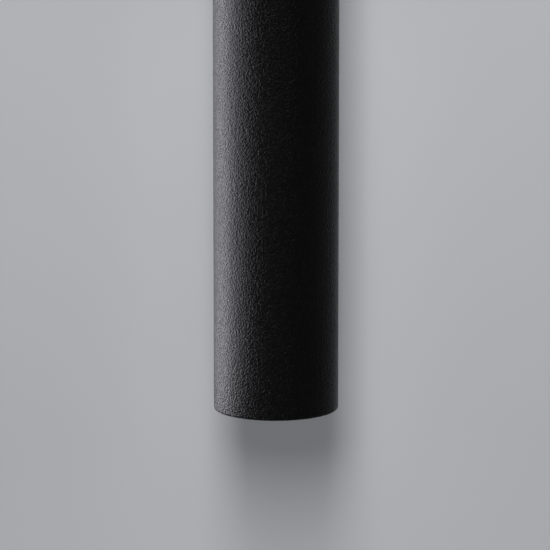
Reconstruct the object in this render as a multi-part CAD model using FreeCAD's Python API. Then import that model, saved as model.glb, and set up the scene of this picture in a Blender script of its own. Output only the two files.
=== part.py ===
"""Tube wall light: an upright textured tube that stands off the wall on a slim canopy.

One lamp shines down from the lower end of the tube and one shines up from the upper end.
Millimetres. +Z is up, the wall is the plane y = 0 and the room is at -Y. The origin is the
centre of the wall fixings, on the wall. Each sub-part is written to parts/NODE.step.
"""

import FreeCAD
import Part

import math
import os

Vec = FreeCAD.Vector

# ---------------------------------------------------------------- driving dimensions
# Tube
TUBE_RADIUS = 30.0
TUBE_WALL = 2.0
TUBE_LENGTH = 600.0
TUBE_EDGE_ROUND = 1.2
TUBE_BORE_ROUND = 0.5
WALL_GAP = 34.0  # from the wall to the back of the tube

# Canopy: the slim housing between the wall and the tube
CANOPY_WIDTH = 50.0
CANOPY_HEIGHT = 132.0
CANOPY_WALL = 2.0
CANOPY_CORNER = 6.0
CANOPY_EDGE_ROUND = 1.2
CANOPY_WRAP = 6.0  # how far the canopy's sides come forward past the back of the tube
SADDLE_CLEARANCE = 0.15
SEAL_THICKNESS = 1.5

# Wall plate
PLATE_THICKNESS = 2.0
PLATE_CLEARANCE = 0.3  # between the plate's flanges and the inside of the canopy
PLATE_CORNER = 3.5
FLANGE_HEIGHT = 60.0
FLANGE_DEPTH = 14.0
FLANGE_CORNER = 3.0
FIXING_SPACING = 60.0
FIXING_SLOT_WIDTH = 5.0
FIXING_SLOT_LENGTH = 11.0
CABLE_HOLE_RADIUS = 6.0
CABLE_BORE_RADIUS = 4.0
BUSHING_FLANGE_RADIUS = 8.0
BUSHING_FLANGE_THICKNESS = 1.5
PLATE_EARTH_MARGIN = 13.7  # from the plate's upper edge to its earth screw

# Fasteners
M4_RADIUS = 2.0
M4_HEAD_RADIUS = 3.8
M4_HEAD_HEIGHT = 2.4
M4_NUT_WIDTH = 7.0
M4_NUT_HEIGHT = 3.2
M3_RADIUS = 1.5
M3_HEAD_RADIUS = 2.8
M3_HEAD_HEIGHT = 1.8
HEAD_ROUND = 0.45  # of the head's height
TIP_CHAMFER = 0.3  # of the thread's radius
SOCKET_WIDTH = 1.2  # of the thread's radius, across flats
DRIVE_DEPTH = 0.55  # of the head's height
CROSS_REACH = 0.6  # of the head's radius
CROSS_WIDTH = 0.24  # of the head's radius
THREAD_FIT = 0.05  # radial gap between a screw and its tapped hole
CLEARANCE_FIT = 0.2  # radial gap between a screw and a plain hole
WASHER_THICKNESS = 0.8
WASHER_WIDTH = 1.6  # ring width outside the screw's thread
PAINT_GAP = 0.05  # between pieces that are pressed together on a curved face
HOLE_RUN_OUT = 0.5  # a blind hole's depth past the tip of its screw

# Clamp screws: one on each side of the canopy, 10 mm long under the head
CLAMP_SCREW_Y = -9.0
CLAMP_SCREW_LENGTH = 10.0
SLOT_CLEARANCE = 0.25

# Saddle joint: screws from inside the canopy into a curved nut plate inside the tube
SADDLE_SCREW_MARGIN = 12.0  # from the canopy's end to the nearer saddle screw
SADDLE_SCREW_LENGTH = 10.0
NUT_PLATE_THICKNESS = 3.0
NUT_PLATE_HALF_WIDTH = 9.0
NUT_PLATE_MARGIN = 8.0

# Lead bush between tube and canopy
LEAD_BUSH_Z = -20.0
LEAD_BUSH_RADIUS = 5.0
LEAD_BUSH_BORE = 3.2
LEAD_BUSH_FLANGE_RADIUS = 7.0
LEAD_BUSH_FLANGE_THICKNESS = 1.5
LEAD_BUSH_OVERHANG = 1.5  # how far the bush stands into the tube

# Terminal block
TERMINAL_Z = 34.0
TERMINAL_PITCH = 8.5
TERMINAL_POLES = 3
TERMINAL_HEIGHT = 18.0
TERMINAL_BASE_DEPTH = 9.5
TERMINAL_TOWER_DEPTH = 3.5
TERMINAL_TOWER_WIDTH = 7.0
TERMINAL_TOWER_HEIGHT = 15.0
TERMINAL_END = 1.5
EAR_THICKNESS = 3.0
EAR_REACH = 4.0  # from the block's end to its fixing screw
EAR_RADIUS = 3.2
EAR_SCREW_BITE = 5.0  # how far the fixing screws go into the bosses
INSERT_RADIUS = 3.0
INSERT_BORE = 2.0
INSERT_RECESS = 1.0
TERMINAL_SCREW_SPREAD = 4.4
TERMINAL_SCREW_LENGTH = 4.0
TERMINAL_GROOVE_WIDTH = 0.6
TERMINAL_GROOVE_DEPTH = 0.9
BOSS_RADIUS = 3.0
BOSS_HEIGHT = 2.5  # above the saddle wall on its middle line

# Leads
LEAD_RADIUS = 1.0
LEAD_PITCH = 2.2
LEAD_STRAIGHT = 8.0  # straight stretch at a terminal
LEAD_SPREAD = 16.0  # height over which the leads spread to their poles
EARTH_LEAD_BOW = 1.5  # how far the earth lead bows out of its straight line
LEAD_BEND = 7.0  # the largest bend that the canopy has room for
LEAD_TUBE_BEND = 16.0  # the largest bend that the tube has room for
FERRULE_RADIUS = 0.8
FERRULE_BARE = 1.5  # ferrule outside the terminal block
FERRULE_INSIDE = 6.5

# Canopy earth
EARTH_X = 13.0
EARTH_Z = -38.0
EARTH_BOSS_RADIUS = 4.2
EARTH_BOSS_Y = -28.5
EARTH_SCREW_BITE = 5.0
TAG_THICKNESS = 0.8
TAG_RADIUS = 4.0
TAG_NECK = 6.0
TAG_BARREL_RADIUS = 1.7
TAG_BARREL_LENGTH = 5.0

# Glare baffle: depths are measured inwards from the end of the tube
BAFFLE_RECESS = 1.0
BAFFLE_LENGTH = 28.0
BAFFLE_CLEARANCE = 0.1
BAFFLE_LIP = 3.0
BAFFLE_BACK_LIP = 5.4
BAFFLE_STEPS = 7
BAFFLE_LIP_ROUND = 0.8
SPRING_COUNT = 3
SPRING_WIDTH = 5.0
SPRING_LENGTH = 15.0
SPRING_THICKNESS = 0.4
SPRING_BOW = 0.65
POCKET_DEPTH = 1.25
POCKET_CLEARANCE = 0.3

# Lamp: a 50 mm reflector lamp with a twist-lock two-pin base
LAMP_RADIUS = 25.0
LAMP_GAP = 2.0  # baffle to lamp
LAMP_RIM_WIDTH = 1.5
LAMP_RIM_DEPTH = 5.0
LAMP_SHELL_LENGTH = 34.0
LAMP_NECK_RADIUS = 14.5
LAMP_WALL = 1.4
LAMP_BASE_LENGTH = 13.0
LAMP_BASE_RADIUS = 12.5
LAMP_BASE_ROUND = 1.0
LAMP_PLUG = 3.0  # how far the base plugs into the shell
LAMP_RIM_ROUND = 0.6
LENS_RECESS = 0.6
LENS_THICKNESS = 2.4
LENS_FIT = 0.1
DOME_RADIUS = 5.0
DOME_HEIGHT = 0.5
FIN_COUNT = 20
FIN_SLOT_WIDTH = 2.2
FIN_ROOT_RADIUS = 16.0
BOARD_DEPTH = 11.0
BOARD_THICKNESS = 1.6
BOARD_RADIUS = 18.0
LED_SIZE = 3.5
LED_THICKNESS = 0.7
LED_RING_RADIUS = 11.0
LED_RING_COUNT = 6
PIN_SPACING = 10.0
PIN_NECK_RADIUS = 1.6
PIN_HEAD_RADIUS = 2.5
PIN_NECK_LENGTH = 4.2
PIN_HEAD_LENGTH = 2.8
PIN_HEAD_ROUND = 0.5
PIN_ROOT = 3.0
LAMP_TWIST = 30.0

# Lampholder
HOLDER_GAP = 0.3  # lamp base to holder face
HOLDER_WIDTH = 29.0
HOLDER_DEPTH = 18.0
HOLDER_HEIGHT = 16.0
HOLDER_CORNER = 4.5
HOLDER_ROUND = 1.5
HOLDER_FACE = 3.4
HOLDER_SLOT_FIT = 0.25
HOLDER_SCREW_X = 11.2
CONTACT_THICKNESS = 0.8
CONTACT_WIDTH = 3.6
CONTACT_GAP = 0.15

# Lampholder bracket
BRACKET_THICKNESS = 1.5
BRACKET_TAB_WIDTH = 14.0
BRACKET_TAB_LENGTH = 30.0
BRACKET_MARGIN = 1.0
BRACKET_SCREWS = (9.0, 22.0)  # depths past the bracket's plate
BRACKET_SCREW_LENGTH = 7.0

# ---------------------------------------------------------------- derived places
TUBE_BORE = TUBE_RADIUS - TUBE_WALL
TUBE_END = TUBE_LENGTH / 2
AXIS_Y = -(WALL_GAP + TUBE_RADIUS)
CANOPY_BACK = -SEAL_THICKNESS
CANOPY_FRONT = -(WALL_GAP + CANOPY_WRAP)
CANOPY_INNER_X = CANOPY_WIDTH / 2 - CANOPY_WALL
CANOPY_INNER_Z = CANOPY_HEIGHT / 2 - CANOPY_WALL
SADDLE_RADIUS = TUBE_RADIUS + SADDLE_CLEARANCE
SADDLE_INNER_RADIUS = SADDLE_RADIUS + CANOPY_WALL
SADDLE_INNER_Y = AXIS_Y + SADDLE_INNER_RADIUS
PLATE_X = CANOPY_INNER_X - PLATE_CLEARANCE
PLATE_Z = CANOPY_INNER_Z - PLATE_CLEARANCE
PLATE_EARTH_Z = PLATE_Z - PLATE_EARTH_MARGIN
SADDLE_SCREW_Z = CANOPY_HEIGHT / 2 - SADDLE_SCREW_MARGIN
TERMINAL_SEAT = SADDLE_INNER_Y + BOSS_HEIGHT
TERMINAL_WIDTH = TERMINAL_POLES * TERMINAL_PITCH + 2 * TERMINAL_END
TERMINAL_BOTTOM = TERMINAL_Z - TERMINAL_HEIGHT / 2
INSERT_Y = TERMINAL_SEAT + TERMINAL_BASE_DEPTH / 2
LAMP_FRONT = BAFFLE_RECESS + BAFFLE_LENGTH + LAMP_GAP
LAMP_NECK = LAMP_FRONT + LAMP_SHELL_LENGTH
LAMP_BACK = LAMP_NECK + LAMP_BASE_LENGTH
HOLDER_FRONT = LAMP_BACK + HOLDER_GAP
HOLDER_BACK = HOLDER_FRONT + HOLDER_HEIGHT
BRACKET_BACK = HOLDER_BACK + BRACKET_THICKNESS
CONTACT_FRONT = LAMP_BACK + PIN_NECK_LENGTH + PIN_HEAD_LENGTH + CONTACT_GAP
TAB_BACK_Y = math.sqrt(TUBE_BORE**2 - (BRACKET_TAB_WIDTH / 2) ** 2) - PAINT_GAP


# ---------------------------------------------------------------- helpers
def cylinder(radius, start, end):
    """A solid cylinder from the point start to the point end."""
    along = Vec(*end) - Vec(*start)
    return Part.makeCylinder(radius, along.Length, Vec(*start), along)


def block(low, high):
    """A box between two corners."""
    size = Vec(*high) - Vec(*low)
    return Part.makeBox(size.x, size.y, size.z, Vec(*low))


def fuse(shapes):
    """One solid from several that overlap or share a face."""
    joined = shapes[0]
    for other in shapes[1:]:
        joined = joined.fuse(other)
    return joined.removeSplitter()


def cut(shape, tools):
    """shape with every tool cut away."""
    for tool in tools:
        shape = shape.cut(tool)
    return shape


def group(shapes):
    """Separate solids kept in one node."""
    return Part.makeCompound([solid for shape in shapes for solid in shape.Solids])


def placed(shape, origin, axis):
    """shape, made along +Z at the origin, moved to origin and turned to point along axis."""
    moved = shape.copy()
    moved.Placement = FreeCAD.Placement(
        Vec(*origin), FreeCAD.Rotation(Vec(0, 0, 1), Vec(*axis))
    )
    return moved


def turned(shape, angle):
    """shape turned about the tube's axis by angle degrees."""
    moved = shape.copy()
    moved.rotate(Vec(0, 0, 0), Vec(0, 0, 1), angle)
    return moved


def rounded_prism(half_x, half_z, corner, y_from, y_to):
    """A slab with rounded corners seen from the front, from y_from to y_to."""
    flat = block((-half_x, y_from, -half_z), (half_x, y_to, half_z))
    corners = [
        edge
        for edge in flat.Edges
        if abs(edge.Vertexes[0].Y - edge.Vertexes[1].Y) > 1e-6
    ]
    return flat.makeFillet(corner, corners)


def slot(radius, length, y_from, y_to, x, z):
    """An upright slot through a plate, of that half width and end-to-end length."""
    reach = length / 2 - radius
    middle = block((x - radius, y_from, z - reach), (x + radius, y_to, z + reach))
    ends = [
        cylinder(radius, (x, y_from, z + side * reach), (x, y_to, z + side * reach))
        for side in (-1, 1)
    ]
    return fuse([middle] + ends)


def revolved(points):
    """A ring turned about the Z axis from a closed outline of (radius, height) points."""
    corners = [Vec(radius, 0, height) for radius, height in points]
    face = Part.Face(Part.makePolygon(corners + corners[:1]))
    return face.revolve(Vec(0, 0, 0), Vec(0, 0, 1), 360)


def circle_edges(shape, radius, height):
    """The round edges of that radius about the Z axis, at that height."""
    found = []
    for edge in shape.Edges:
        curve = edge.Curve
        if not isinstance(curve, Part.Circle):
            continue
        level = abs(curve.Center.z - height) < 1e-4
        centred = math.hypot(curve.Center.x, curve.Center.y) < 1e-4
        if level and centred and abs(curve.Radius - radius) < 1e-4:
            found.append(edge)
    return found


def hexagon(width, length):
    """A hexagonal bar of that width across flats, from z = 0 upwards."""
    corner = width / math.sqrt(3)
    points = [
        Vec(corner * math.cos(math.radians(a)), corner * math.sin(math.radians(a)), 0)
        for a in range(0, 361, 60)
    ]
    return Part.Face(Part.makePolygon(points)).extrude(Vec(0, 0, length))


def screw(thread_radius, length, head_radius, head_height, drive):
    """A screw along Z: the thread points down from z = 0 and the head stands on it.

    drive is hex for a socket or cross for two crossed grooves.
    """
    head = cylinder(head_radius, (0, 0, 0), (0, 0, head_height))
    head = head.makeFillet(
        HEAD_ROUND * head_height, circle_edges(head, head_radius, head_height)
    )
    thread = cylinder(thread_radius, (0, 0, 0), (0, 0, -length))
    thread = thread.makeChamfer(
        TIP_CHAMFER * thread_radius, circle_edges(thread, thread_radius, -length)
    )
    floor = head_height - DRIVE_DEPTH * head_height
    if drive == "hex":
        socket = hexagon(SOCKET_WIDTH * thread_radius, head_height)
        socket.translate(Vec(0, 0, floor))
        tools = [socket]
    else:
        half = CROSS_WIDTH * head_radius / 2
        reach = CROSS_REACH * head_radius
        tools = [
            block((-reach, -half, floor), (reach, half, head_height)),
            block((-half, -reach, floor), (half, reach, head_height)),
        ]
    return cut(fuse([head, thread]), tools)


def m4_screw(length, drive="cross"):
    """An M4 screw along Z."""
    return screw(M4_RADIUS, length, M4_HEAD_RADIUS, M4_HEAD_HEIGHT, drive)


def m3_screw(length, drive="cross"):
    """An M3 screw along Z."""
    return screw(M3_RADIUS, length, M3_HEAD_RADIUS, M3_HEAD_HEIGHT, drive)


def washer(thread_radius):
    """A flat washer from z = 0 upwards."""
    hole = thread_radius + CLEARANCE_FIT
    ring = cylinder(hole + WASHER_WIDTH, (0, 0, 0), (0, 0, WASHER_THICKNESS))
    return ring.cut(cylinder(hole, (0, 0, 0), (0, 0, WASHER_THICKNESS)))


def rounded_route(points, largest):
    """Straight runs through the points, joined by tangent arcs.

    Each arc is as large as 0.45 of its shorter run allows, up to the radius largest.
    Returns the wire and the arcs' radii.
    """
    points = [Vec(*point) for point in points]
    edges, radii = [], []
    at = points[0]
    for before, corner, after in zip(points, points[1:], points[2:]):
        into = (before - corner).normalize()
        out = (after - corner).normalize()
        half_turn = (math.pi - into.getAngle(out)) / 2
        shorter = min((before - corner).Length, (after - corner).Length)
        setback = min(largest * math.tan(half_turn), 0.45 * shorter)
        radius = setback / math.tan(half_turn)
        middle = (into + out).normalize()
        dip = radius / math.cos(half_turn) - radius
        begin = corner + into * setback
        end = corner + out * setback
        edges.append(Part.LineSegment(at, begin).toShape())
        edges.append(Part.Arc(begin, corner + middle * dip, end).toShape())
        radii.append(round(radius, 1))
        at = end
    edges.append(Part.LineSegment(at, points[-1]).toShape())
    return Part.Wire(edges), radii


def lead(name, stretches):
    """An insulated lead along one route of (points, largest bend) stretches.

    Each stretch starts at the last point of the one before it, in line with it.
    """
    edges, radii = [], []
    for points, largest in stretches:
        wire, bends = rounded_route(points, largest)
        edges += wire.Edges
        radii += bends
    route = Part.Wire(edges)
    start, heading = Vec(*stretches[0][0][0]), Vec(*stretches[0][0][1])
    section = Part.Wire([Part.makeCircle(LEAD_RADIUS, start, heading - start)])
    made = route.makePipeShell([section], True, False)
    expected = math.pi * LEAD_RADIUS**2 * route.Length
    if abs(made.Volume / expected - 1) > 0.01:
        raise ValueError("a lead's solid doesn't have its section times its length")
    print(name, "length", round(route.Length), "bend radii", radii)
    return made


def at_lower_end(shape):
    """Moves a piece made on the Z axis, with depth from the tube's end as height."""
    moved = shape.copy()
    moved.translate(Vec(0, AXIS_Y, -TUBE_END))
    return moved


def at_upper_end(shape):
    """The same piece at the other end of the tube, turned over about the Y direction."""
    moved = at_lower_end(shape)
    moved.rotate(Vec(0, 0, 0), Vec(0, 1, 0), 180)
    return moved


# ---------------------------------------------------------------- wall side
def flange_hole(side, radius):
    """A hole through one flange, on the clamp screw's axis."""
    return cylinder(
        radius, (0, CLAMP_SCREW_Y, 0), (side * CANOPY_WIDTH, CLAMP_SCREW_Y, 0)
    )


def flange(side):
    """One side flange, with its front corners rounded."""
    inner = side * (PLATE_X - PLATE_THICKNESS)
    low, high = sorted((inner, side * PLATE_X))
    front = -(PLATE_THICKNESS + FLANGE_DEPTH)
    plate = block((low, front, -FLANGE_HEIGHT / 2), (high, 0, FLANGE_HEIGHT / 2))
    corners = [
        edge
        for edge in plate.Edges
        if abs(edge.Vertexes[0].X - edge.Vertexes[1].X) > 1e-6
        and abs(edge.Vertexes[0].Y - front) < 1e-6
    ]
    return plate.makeFillet(FLANGE_CORNER, corners)


def make_wall_plate():
    """The pressed plate that is screwed to the wall, with its two side flanges."""
    base = rounded_prism(PLATE_X, PLATE_Z, PLATE_CORNER, -PLATE_THICKNESS, 0)
    plate = fuse([base, flange(-1), flange(1)])
    holes = [
        slot(
            FIXING_SLOT_WIDTH / 2,
            FIXING_SLOT_LENGTH,
            -2 * PLATE_THICKNESS,
            PLATE_THICKNESS,
            0,
            side * FIXING_SPACING / 2,
        )
        for side in (-1, 1)
    ]
    holes.append(
        cylinder(CABLE_HOLE_RADIUS, (0, -PLATE_THICKNESS, 0), (0, 0, 0))
    )
    holes.append(
        cylinder(
            M4_RADIUS + THREAD_FIT,
            (0, -PLATE_THICKNESS, PLATE_EARTH_Z),
            (0, 0, PLATE_EARTH_Z),
        )
    )
    holes += [flange_hole(side, M4_RADIUS + CLEARANCE_FIT) for side in (-1, 1)]
    return cut(plate, holes)


def make_weld_nuts():
    """The nuts welded inside the flanges, which take the clamp screws."""
    nuts = []
    for side in (-1, 1):
        nut = hexagon(M4_NUT_WIDTH, M4_NUT_HEIGHT)
        seat = side * (PLATE_X - PLATE_THICKNESS)
        nut = placed(nut, (seat, CLAMP_SCREW_Y, 0), (-side, 0, 0))
        nuts.append(nut.cut(flange_hole(side, M4_RADIUS + THREAD_FIT)))
    return group(nuts)


def make_cable_bushing():
    """The bushing that lines the plate's cable hole."""
    body = cylinder(CABLE_HOLE_RADIUS, (0, 0, 0), (0, -PLATE_THICKNESS, 0))
    front = -(PLATE_THICKNESS + BUSHING_FLANGE_THICKNESS)
    collar = cylinder(BUSHING_FLANGE_RADIUS, (0, -PLATE_THICKNESS, 0), (0, front, 0))
    return fuse([body, collar]).cut(
        cylinder(CABLE_BORE_RADIUS, (0, 0, 0), (0, front, 0))
    )


def make_earth_washer():
    """The washer under the plate's earth screw."""
    seat = (0, -PLATE_THICKNESS, PLATE_EARTH_Z)
    return placed(washer(M4_RADIUS), seat, (0, -1, 0))


def make_earth_screw():
    """The screw that clamps the supply's earth wire to the wall plate."""
    seat = (0, -(PLATE_THICKNESS + WASHER_THICKNESS), PLATE_EARTH_Z)
    length = WASHER_THICKNESS + PLATE_THICKNESS
    return placed(m4_screw(length), seat, (0, -1, 0))


def make_clamp_washer(side):
    """The captive washer between a clamp screw's head and the canopy's side."""
    seat = (side * CANOPY_WIDTH / 2, CLAMP_SCREW_Y, 0)
    return placed(washer(M4_RADIUS), seat, (side, 0, 0))


def make_clamp_screw(side):
    """The socket screw that holds one side of the canopy to the wall plate."""
    seat = (side * (CANOPY_WIDTH / 2 + WASHER_THICKNESS), CLAMP_SCREW_Y, 0)
    return placed(m4_screw(CLAMP_SCREW_LENGTH, "hex"), seat, (side, 0, 0))


# ---------------------------------------------------------------- tube and canopy
def back_hole(radius, z):
    """A hole through the back of the tube and the canopy's saddle."""
    return cylinder(radius, (0, AXIS_Y, z), (0, 0, z))


def bracket_screw_heights():
    """Heights of the four small screws in the back of the tube."""
    depths = [BRACKET_BACK + along for along in BRACKET_SCREWS]
    return [end * (TUBE_END - depth) for end in (-1, 1) for depth in depths]


def make_tube():
    """The tube, open at both ends, with its edges rounded and its holes at the back."""
    shell = cylinder(TUBE_RADIUS, (0, 0, -TUBE_END), (0, 0, TUBE_END))
    shell = shell.cut(cylinder(TUBE_BORE, (0, 0, -TUBE_END), (0, 0, TUBE_END)))
    for height in (-TUBE_END, TUBE_END):
        shell = shell.makeFillet(
            TUBE_EDGE_ROUND, circle_edges(shell, TUBE_RADIUS, height)
        )
        shell = shell.makeFillet(
            TUBE_BORE_ROUND, circle_edges(shell, TUBE_BORE, height)
        )
    shell.translate(Vec(0, AXIS_Y, 0))
    holes = [back_hole(M4_RADIUS + CLEARANCE_FIT, z) for z in saddle_screw_heights()]
    holes.append(back_hole(LEAD_BUSH_RADIUS + PAINT_GAP, LEAD_BUSH_Z))
    holes += [back_hole(M3_RADIUS + CLEARANCE_FIT, z) for z in bracket_screw_heights()]
    return cut(shell, holes)


def saddle_screw_heights():
    """Heights of the two screws that hold the tube to the canopy."""
    return (-SADDLE_SCREW_Z, SADDLE_SCREW_Z)


def tube_sized(radius):
    """A bar on the tube's axis, as tall as the canopy and a little more."""
    reach = CANOPY_HEIGHT
    return cylinder(radius, (0, AXIS_Y, -reach), (0, AXIS_Y, reach))


def terminal_boss_places():
    """The x positions of the terminal block's two fixing bosses, beside the block."""
    reach = TERMINAL_WIDTH / 2 + EAR_REACH
    return (-reach, reach)


def boss(radius, x, z, top):
    """A round boss on the canopy's saddle wall, up to the height top."""
    root = CANOPY_FRONT + CANOPY_WALL / 2
    post = cylinder(radius, (x, root, z), (x, top, z))
    return post.cut(tube_sized(SADDLE_RADIUS + CANOPY_WALL / 2))


def clamp_slot(side):
    """The open slot in the canopy's side, which slides over a clamp screw."""
    radius = M4_RADIUS + SLOT_CLEARANCE
    inner, outer = sorted((side * (CANOPY_INNER_X - 1), side * CANOPY_WIDTH))
    mouth = block((inner, CLAMP_SCREW_Y, -radius), (outer, 0, radius))
    end = cylinder(radius, (inner, CLAMP_SCREW_Y, 0), (outer, CLAMP_SCREW_Y, 0))
    return fuse([mouth, end])


def make_canopy():
    """The housing on the wall: open at the back, with a saddle at the front for the tube."""
    half_x, half_z = CANOPY_WIDTH / 2, CANOPY_HEIGHT / 2
    outer = rounded_prism(half_x, half_z, CANOPY_CORNER, CANOPY_FRONT, CANOPY_BACK)
    rim = [
        edge
        for edge in outer.Edges
        if abs(edge.BoundBox.YMin - CANOPY_FRONT) < 1e-6
        and abs(edge.BoundBox.YMax - CANOPY_FRONT) < 1e-6
    ]
    outer = outer.makeFillet(CANOPY_EDGE_ROUND, rim)
    room = rounded_prism(
        CANOPY_INNER_X,
        CANOPY_INNER_Z,
        CANOPY_CORNER - CANOPY_WALL,
        CANOPY_FRONT + CANOPY_WALL,
        0,
    )
    room = room.cut(tube_sized(SADDLE_INNER_RADIUS))
    shell = outer.cut(tube_sized(SADDLE_RADIUS)).cut(room)
    bosses = [
        boss(BOSS_RADIUS, x, TERMINAL_Z, TERMINAL_SEAT) for x in terminal_boss_places()
    ]
    bosses.append(boss(EARTH_BOSS_RADIUS, EARTH_X, EARTH_Z, EARTH_BOSS_Y))
    shell = fuse([shell] + bosses)
    holes = [back_hole(M4_RADIUS + CLEARANCE_FIT, z) for z in saddle_screw_heights()]
    holes.append(back_hole(LEAD_BUSH_RADIUS + PAINT_GAP, LEAD_BUSH_Z))
    holes += [
        cylinder(
            M3_RADIUS + THREAD_FIT,
            (x, TERMINAL_SEAT, TERMINAL_Z),
            (x, TERMINAL_SEAT - EAR_SCREW_BITE - HOLE_RUN_OUT, TERMINAL_Z),
        )
        for x in terminal_boss_places()
    ]
    holes.append(
        cylinder(
            M4_RADIUS + THREAD_FIT,
            (EARTH_X, EARTH_BOSS_Y, EARTH_Z),
            (EARTH_X, EARTH_BOSS_Y - EARTH_SCREW_BITE - HOLE_RUN_OUT, EARTH_Z),
        )
    )
    holes += [clamp_slot(side) for side in (-1, 1)]
    return cut(shell, holes)


def make_rim_seal():
    """The seal between the canopy's back rim and the wall, open at the two clamp slots."""
    half_x, half_z = CANOPY_WIDTH / 2, CANOPY_HEIGHT / 2
    outer = rounded_prism(half_x, half_z, CANOPY_CORNER, CANOPY_BACK, 0)
    window = rounded_prism(
        CANOPY_INNER_X,
        CANOPY_INNER_Z,
        CANOPY_CORNER - CANOPY_WALL,
        CANOPY_BACK,
        0,
    )
    return outer.cut(fuse([window] + [clamp_slot(side) for side in (-1, 1)]))


def make_saddle_washers():
    """The washers under the saddle screws' heads."""
    return group(
        [
            placed(washer(M4_RADIUS), (0, SADDLE_INNER_Y, z), (0, 1, 0))
            for z in saddle_screw_heights()
        ]
    )


def make_saddle_screws():
    """The screws that pull the tube against the canopy's saddle."""
    seat = SADDLE_INNER_Y + WASHER_THICKNESS
    return group(
        [
            placed(m4_screw(SADDLE_SCREW_LENGTH), (0, seat, z), (0, 1, 0))
            for z in saddle_screw_heights()
        ]
    )


def make_saddle_nut_plate():
    """The curved plate inside the tube that the saddle screws are tapped into."""
    half_z = SADDLE_SCREW_Z + NUT_PLATE_MARGIN
    outer = TUBE_BORE - PAINT_GAP
    ring = cylinder(outer, (0, AXIS_Y, -half_z), (0, AXIS_Y, half_z)).cut(
        cylinder(
            outer - NUT_PLATE_THICKNESS, (0, AXIS_Y, -half_z), (0, AXIS_Y, half_z)
        )
    )
    strip = block(
        (-NUT_PLATE_HALF_WIDTH, AXIS_Y, -half_z), (NUT_PLATE_HALF_WIDTH, 0, half_z)
    )
    holes = [back_hole(M4_RADIUS + THREAD_FIT, z) for z in saddle_screw_heights()]
    holes.append(back_hole(LEAD_BUSH_RADIUS + CLEARANCE_FIT, LEAD_BUSH_Z))
    return cut(ring.common(strip), holes)


def make_lead_bush():
    """The bush that carries the leads from the tube into the canopy."""
    tube_side = AXIS_Y + TUBE_BORE - NUT_PLATE_THICKNESS - LEAD_BUSH_OVERHANG
    front = SADDLE_INNER_Y + LEAD_BUSH_FLANGE_THICKNESS
    body = cylinder(
        LEAD_BUSH_RADIUS, (0, tube_side, LEAD_BUSH_Z), (0, front, LEAD_BUSH_Z)
    )
    collar = cylinder(
        LEAD_BUSH_FLANGE_RADIUS,
        (0, SADDLE_INNER_Y, LEAD_BUSH_Z),
        (0, front, LEAD_BUSH_Z),
    )
    bore = cylinder(
        LEAD_BUSH_BORE, (0, tube_side, LEAD_BUSH_Z), (0, front, LEAD_BUSH_Z)
    )
    return fuse([body, collar]).cut(bore)


# ---------------------------------------------------------------- terminal block
def pole_places():
    """The x positions of the live, neutral and earth poles."""
    middle = (TERMINAL_POLES - 1) / 2
    return [(pole - middle) * TERMINAL_PITCH for pole in range(TERMINAL_POLES)]


def terminal_screw_heights():
    """Heights of each pole's two clamping screws."""
    return (TERMINAL_Z - TERMINAL_SCREW_SPREAD, TERMINAL_Z + TERMINAL_SCREW_SPREAD)


def ear_top():
    """The height of the terminal block's fixing ears."""
    return TERMINAL_SEAT + EAR_THICKNESS


def make_terminal_block():
    """The insulating body of the terminal block, with a tower over each pole."""
    half_x, half_z = TERMINAL_WIDTH / 2, TERMINAL_HEIGHT / 2
    deck = TERMINAL_SEAT + TERMINAL_BASE_DEPTH
    top = deck + TERMINAL_TOWER_DEPTH
    body = block(
        (-half_x, TERMINAL_SEAT, TERMINAL_Z - half_z),
        (half_x, deck, TERMINAL_Z + half_z),
    )
    tall = TERMINAL_TOWER_HEIGHT / 2
    wide = TERMINAL_TOWER_WIDTH / 2
    towers = [
        block((x - wide, deck, TERMINAL_Z - tall), (x + wide, top, TERMINAL_Z + tall))
        for x in pole_places()
    ]
    ears = []
    for x in terminal_boss_places():
        low, high = (x, TERMINAL_SEAT, TERMINAL_Z), (x, ear_top(), TERMINAL_Z)
        ears.append(cylinder(EAR_RADIUS, low, high))
        ears.append(
            block(
                (min(x, 0), TERMINAL_SEAT, TERMINAL_Z - EAR_RADIUS),
                (max(x, 0), ear_top(), TERMINAL_Z + EAR_RADIUS),
            )
        )
    body = fuse([body] + towers + ears)
    holes = []
    for x in pole_places():
        holes.append(
            cylinder(
                INSERT_RADIUS + PAINT_GAP,
                (x, INSERT_Y, TERMINAL_Z - half_z),
                (x, INSERT_Y, TERMINAL_Z + half_z),
            )
        )
        holes += [
            cylinder(M3_RADIUS + CLEARANCE_FIT, (x, INSERT_Y, z), (x, top, z))
            for z in terminal_screw_heights()
        ]
    for x in terminal_boss_places():
        low, high = (x, TERMINAL_SEAT, TERMINAL_Z), (x, ear_top(), TERMINAL_Z)
        holes.append(cylinder(M3_RADIUS + CLEARANCE_FIT, low, high))
    return cut(body, holes)


def make_terminal_inserts():
    """The brass inserts that join the leads to the supply, one for each pole."""
    reach = TERMINAL_HEIGHT / 2 - INSERT_RECESS
    inserts = []
    for x in pole_places():
        low = (x, INSERT_Y, TERMINAL_Z - reach)
        high = (x, INSERT_Y, TERMINAL_Z + reach)
        holes = [cylinder(INSERT_BORE, low, high)]
        holes += [
            cylinder(
                M3_RADIUS + THREAD_FIT,
                (x, INSERT_Y, z),
                (x, INSERT_Y + 2 * INSERT_RADIUS, z),
            )
            for z in terminal_screw_heights()
        ]
        inserts.append(cut(cylinder(INSERT_RADIUS, low, high), holes))
    return group(inserts)


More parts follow.
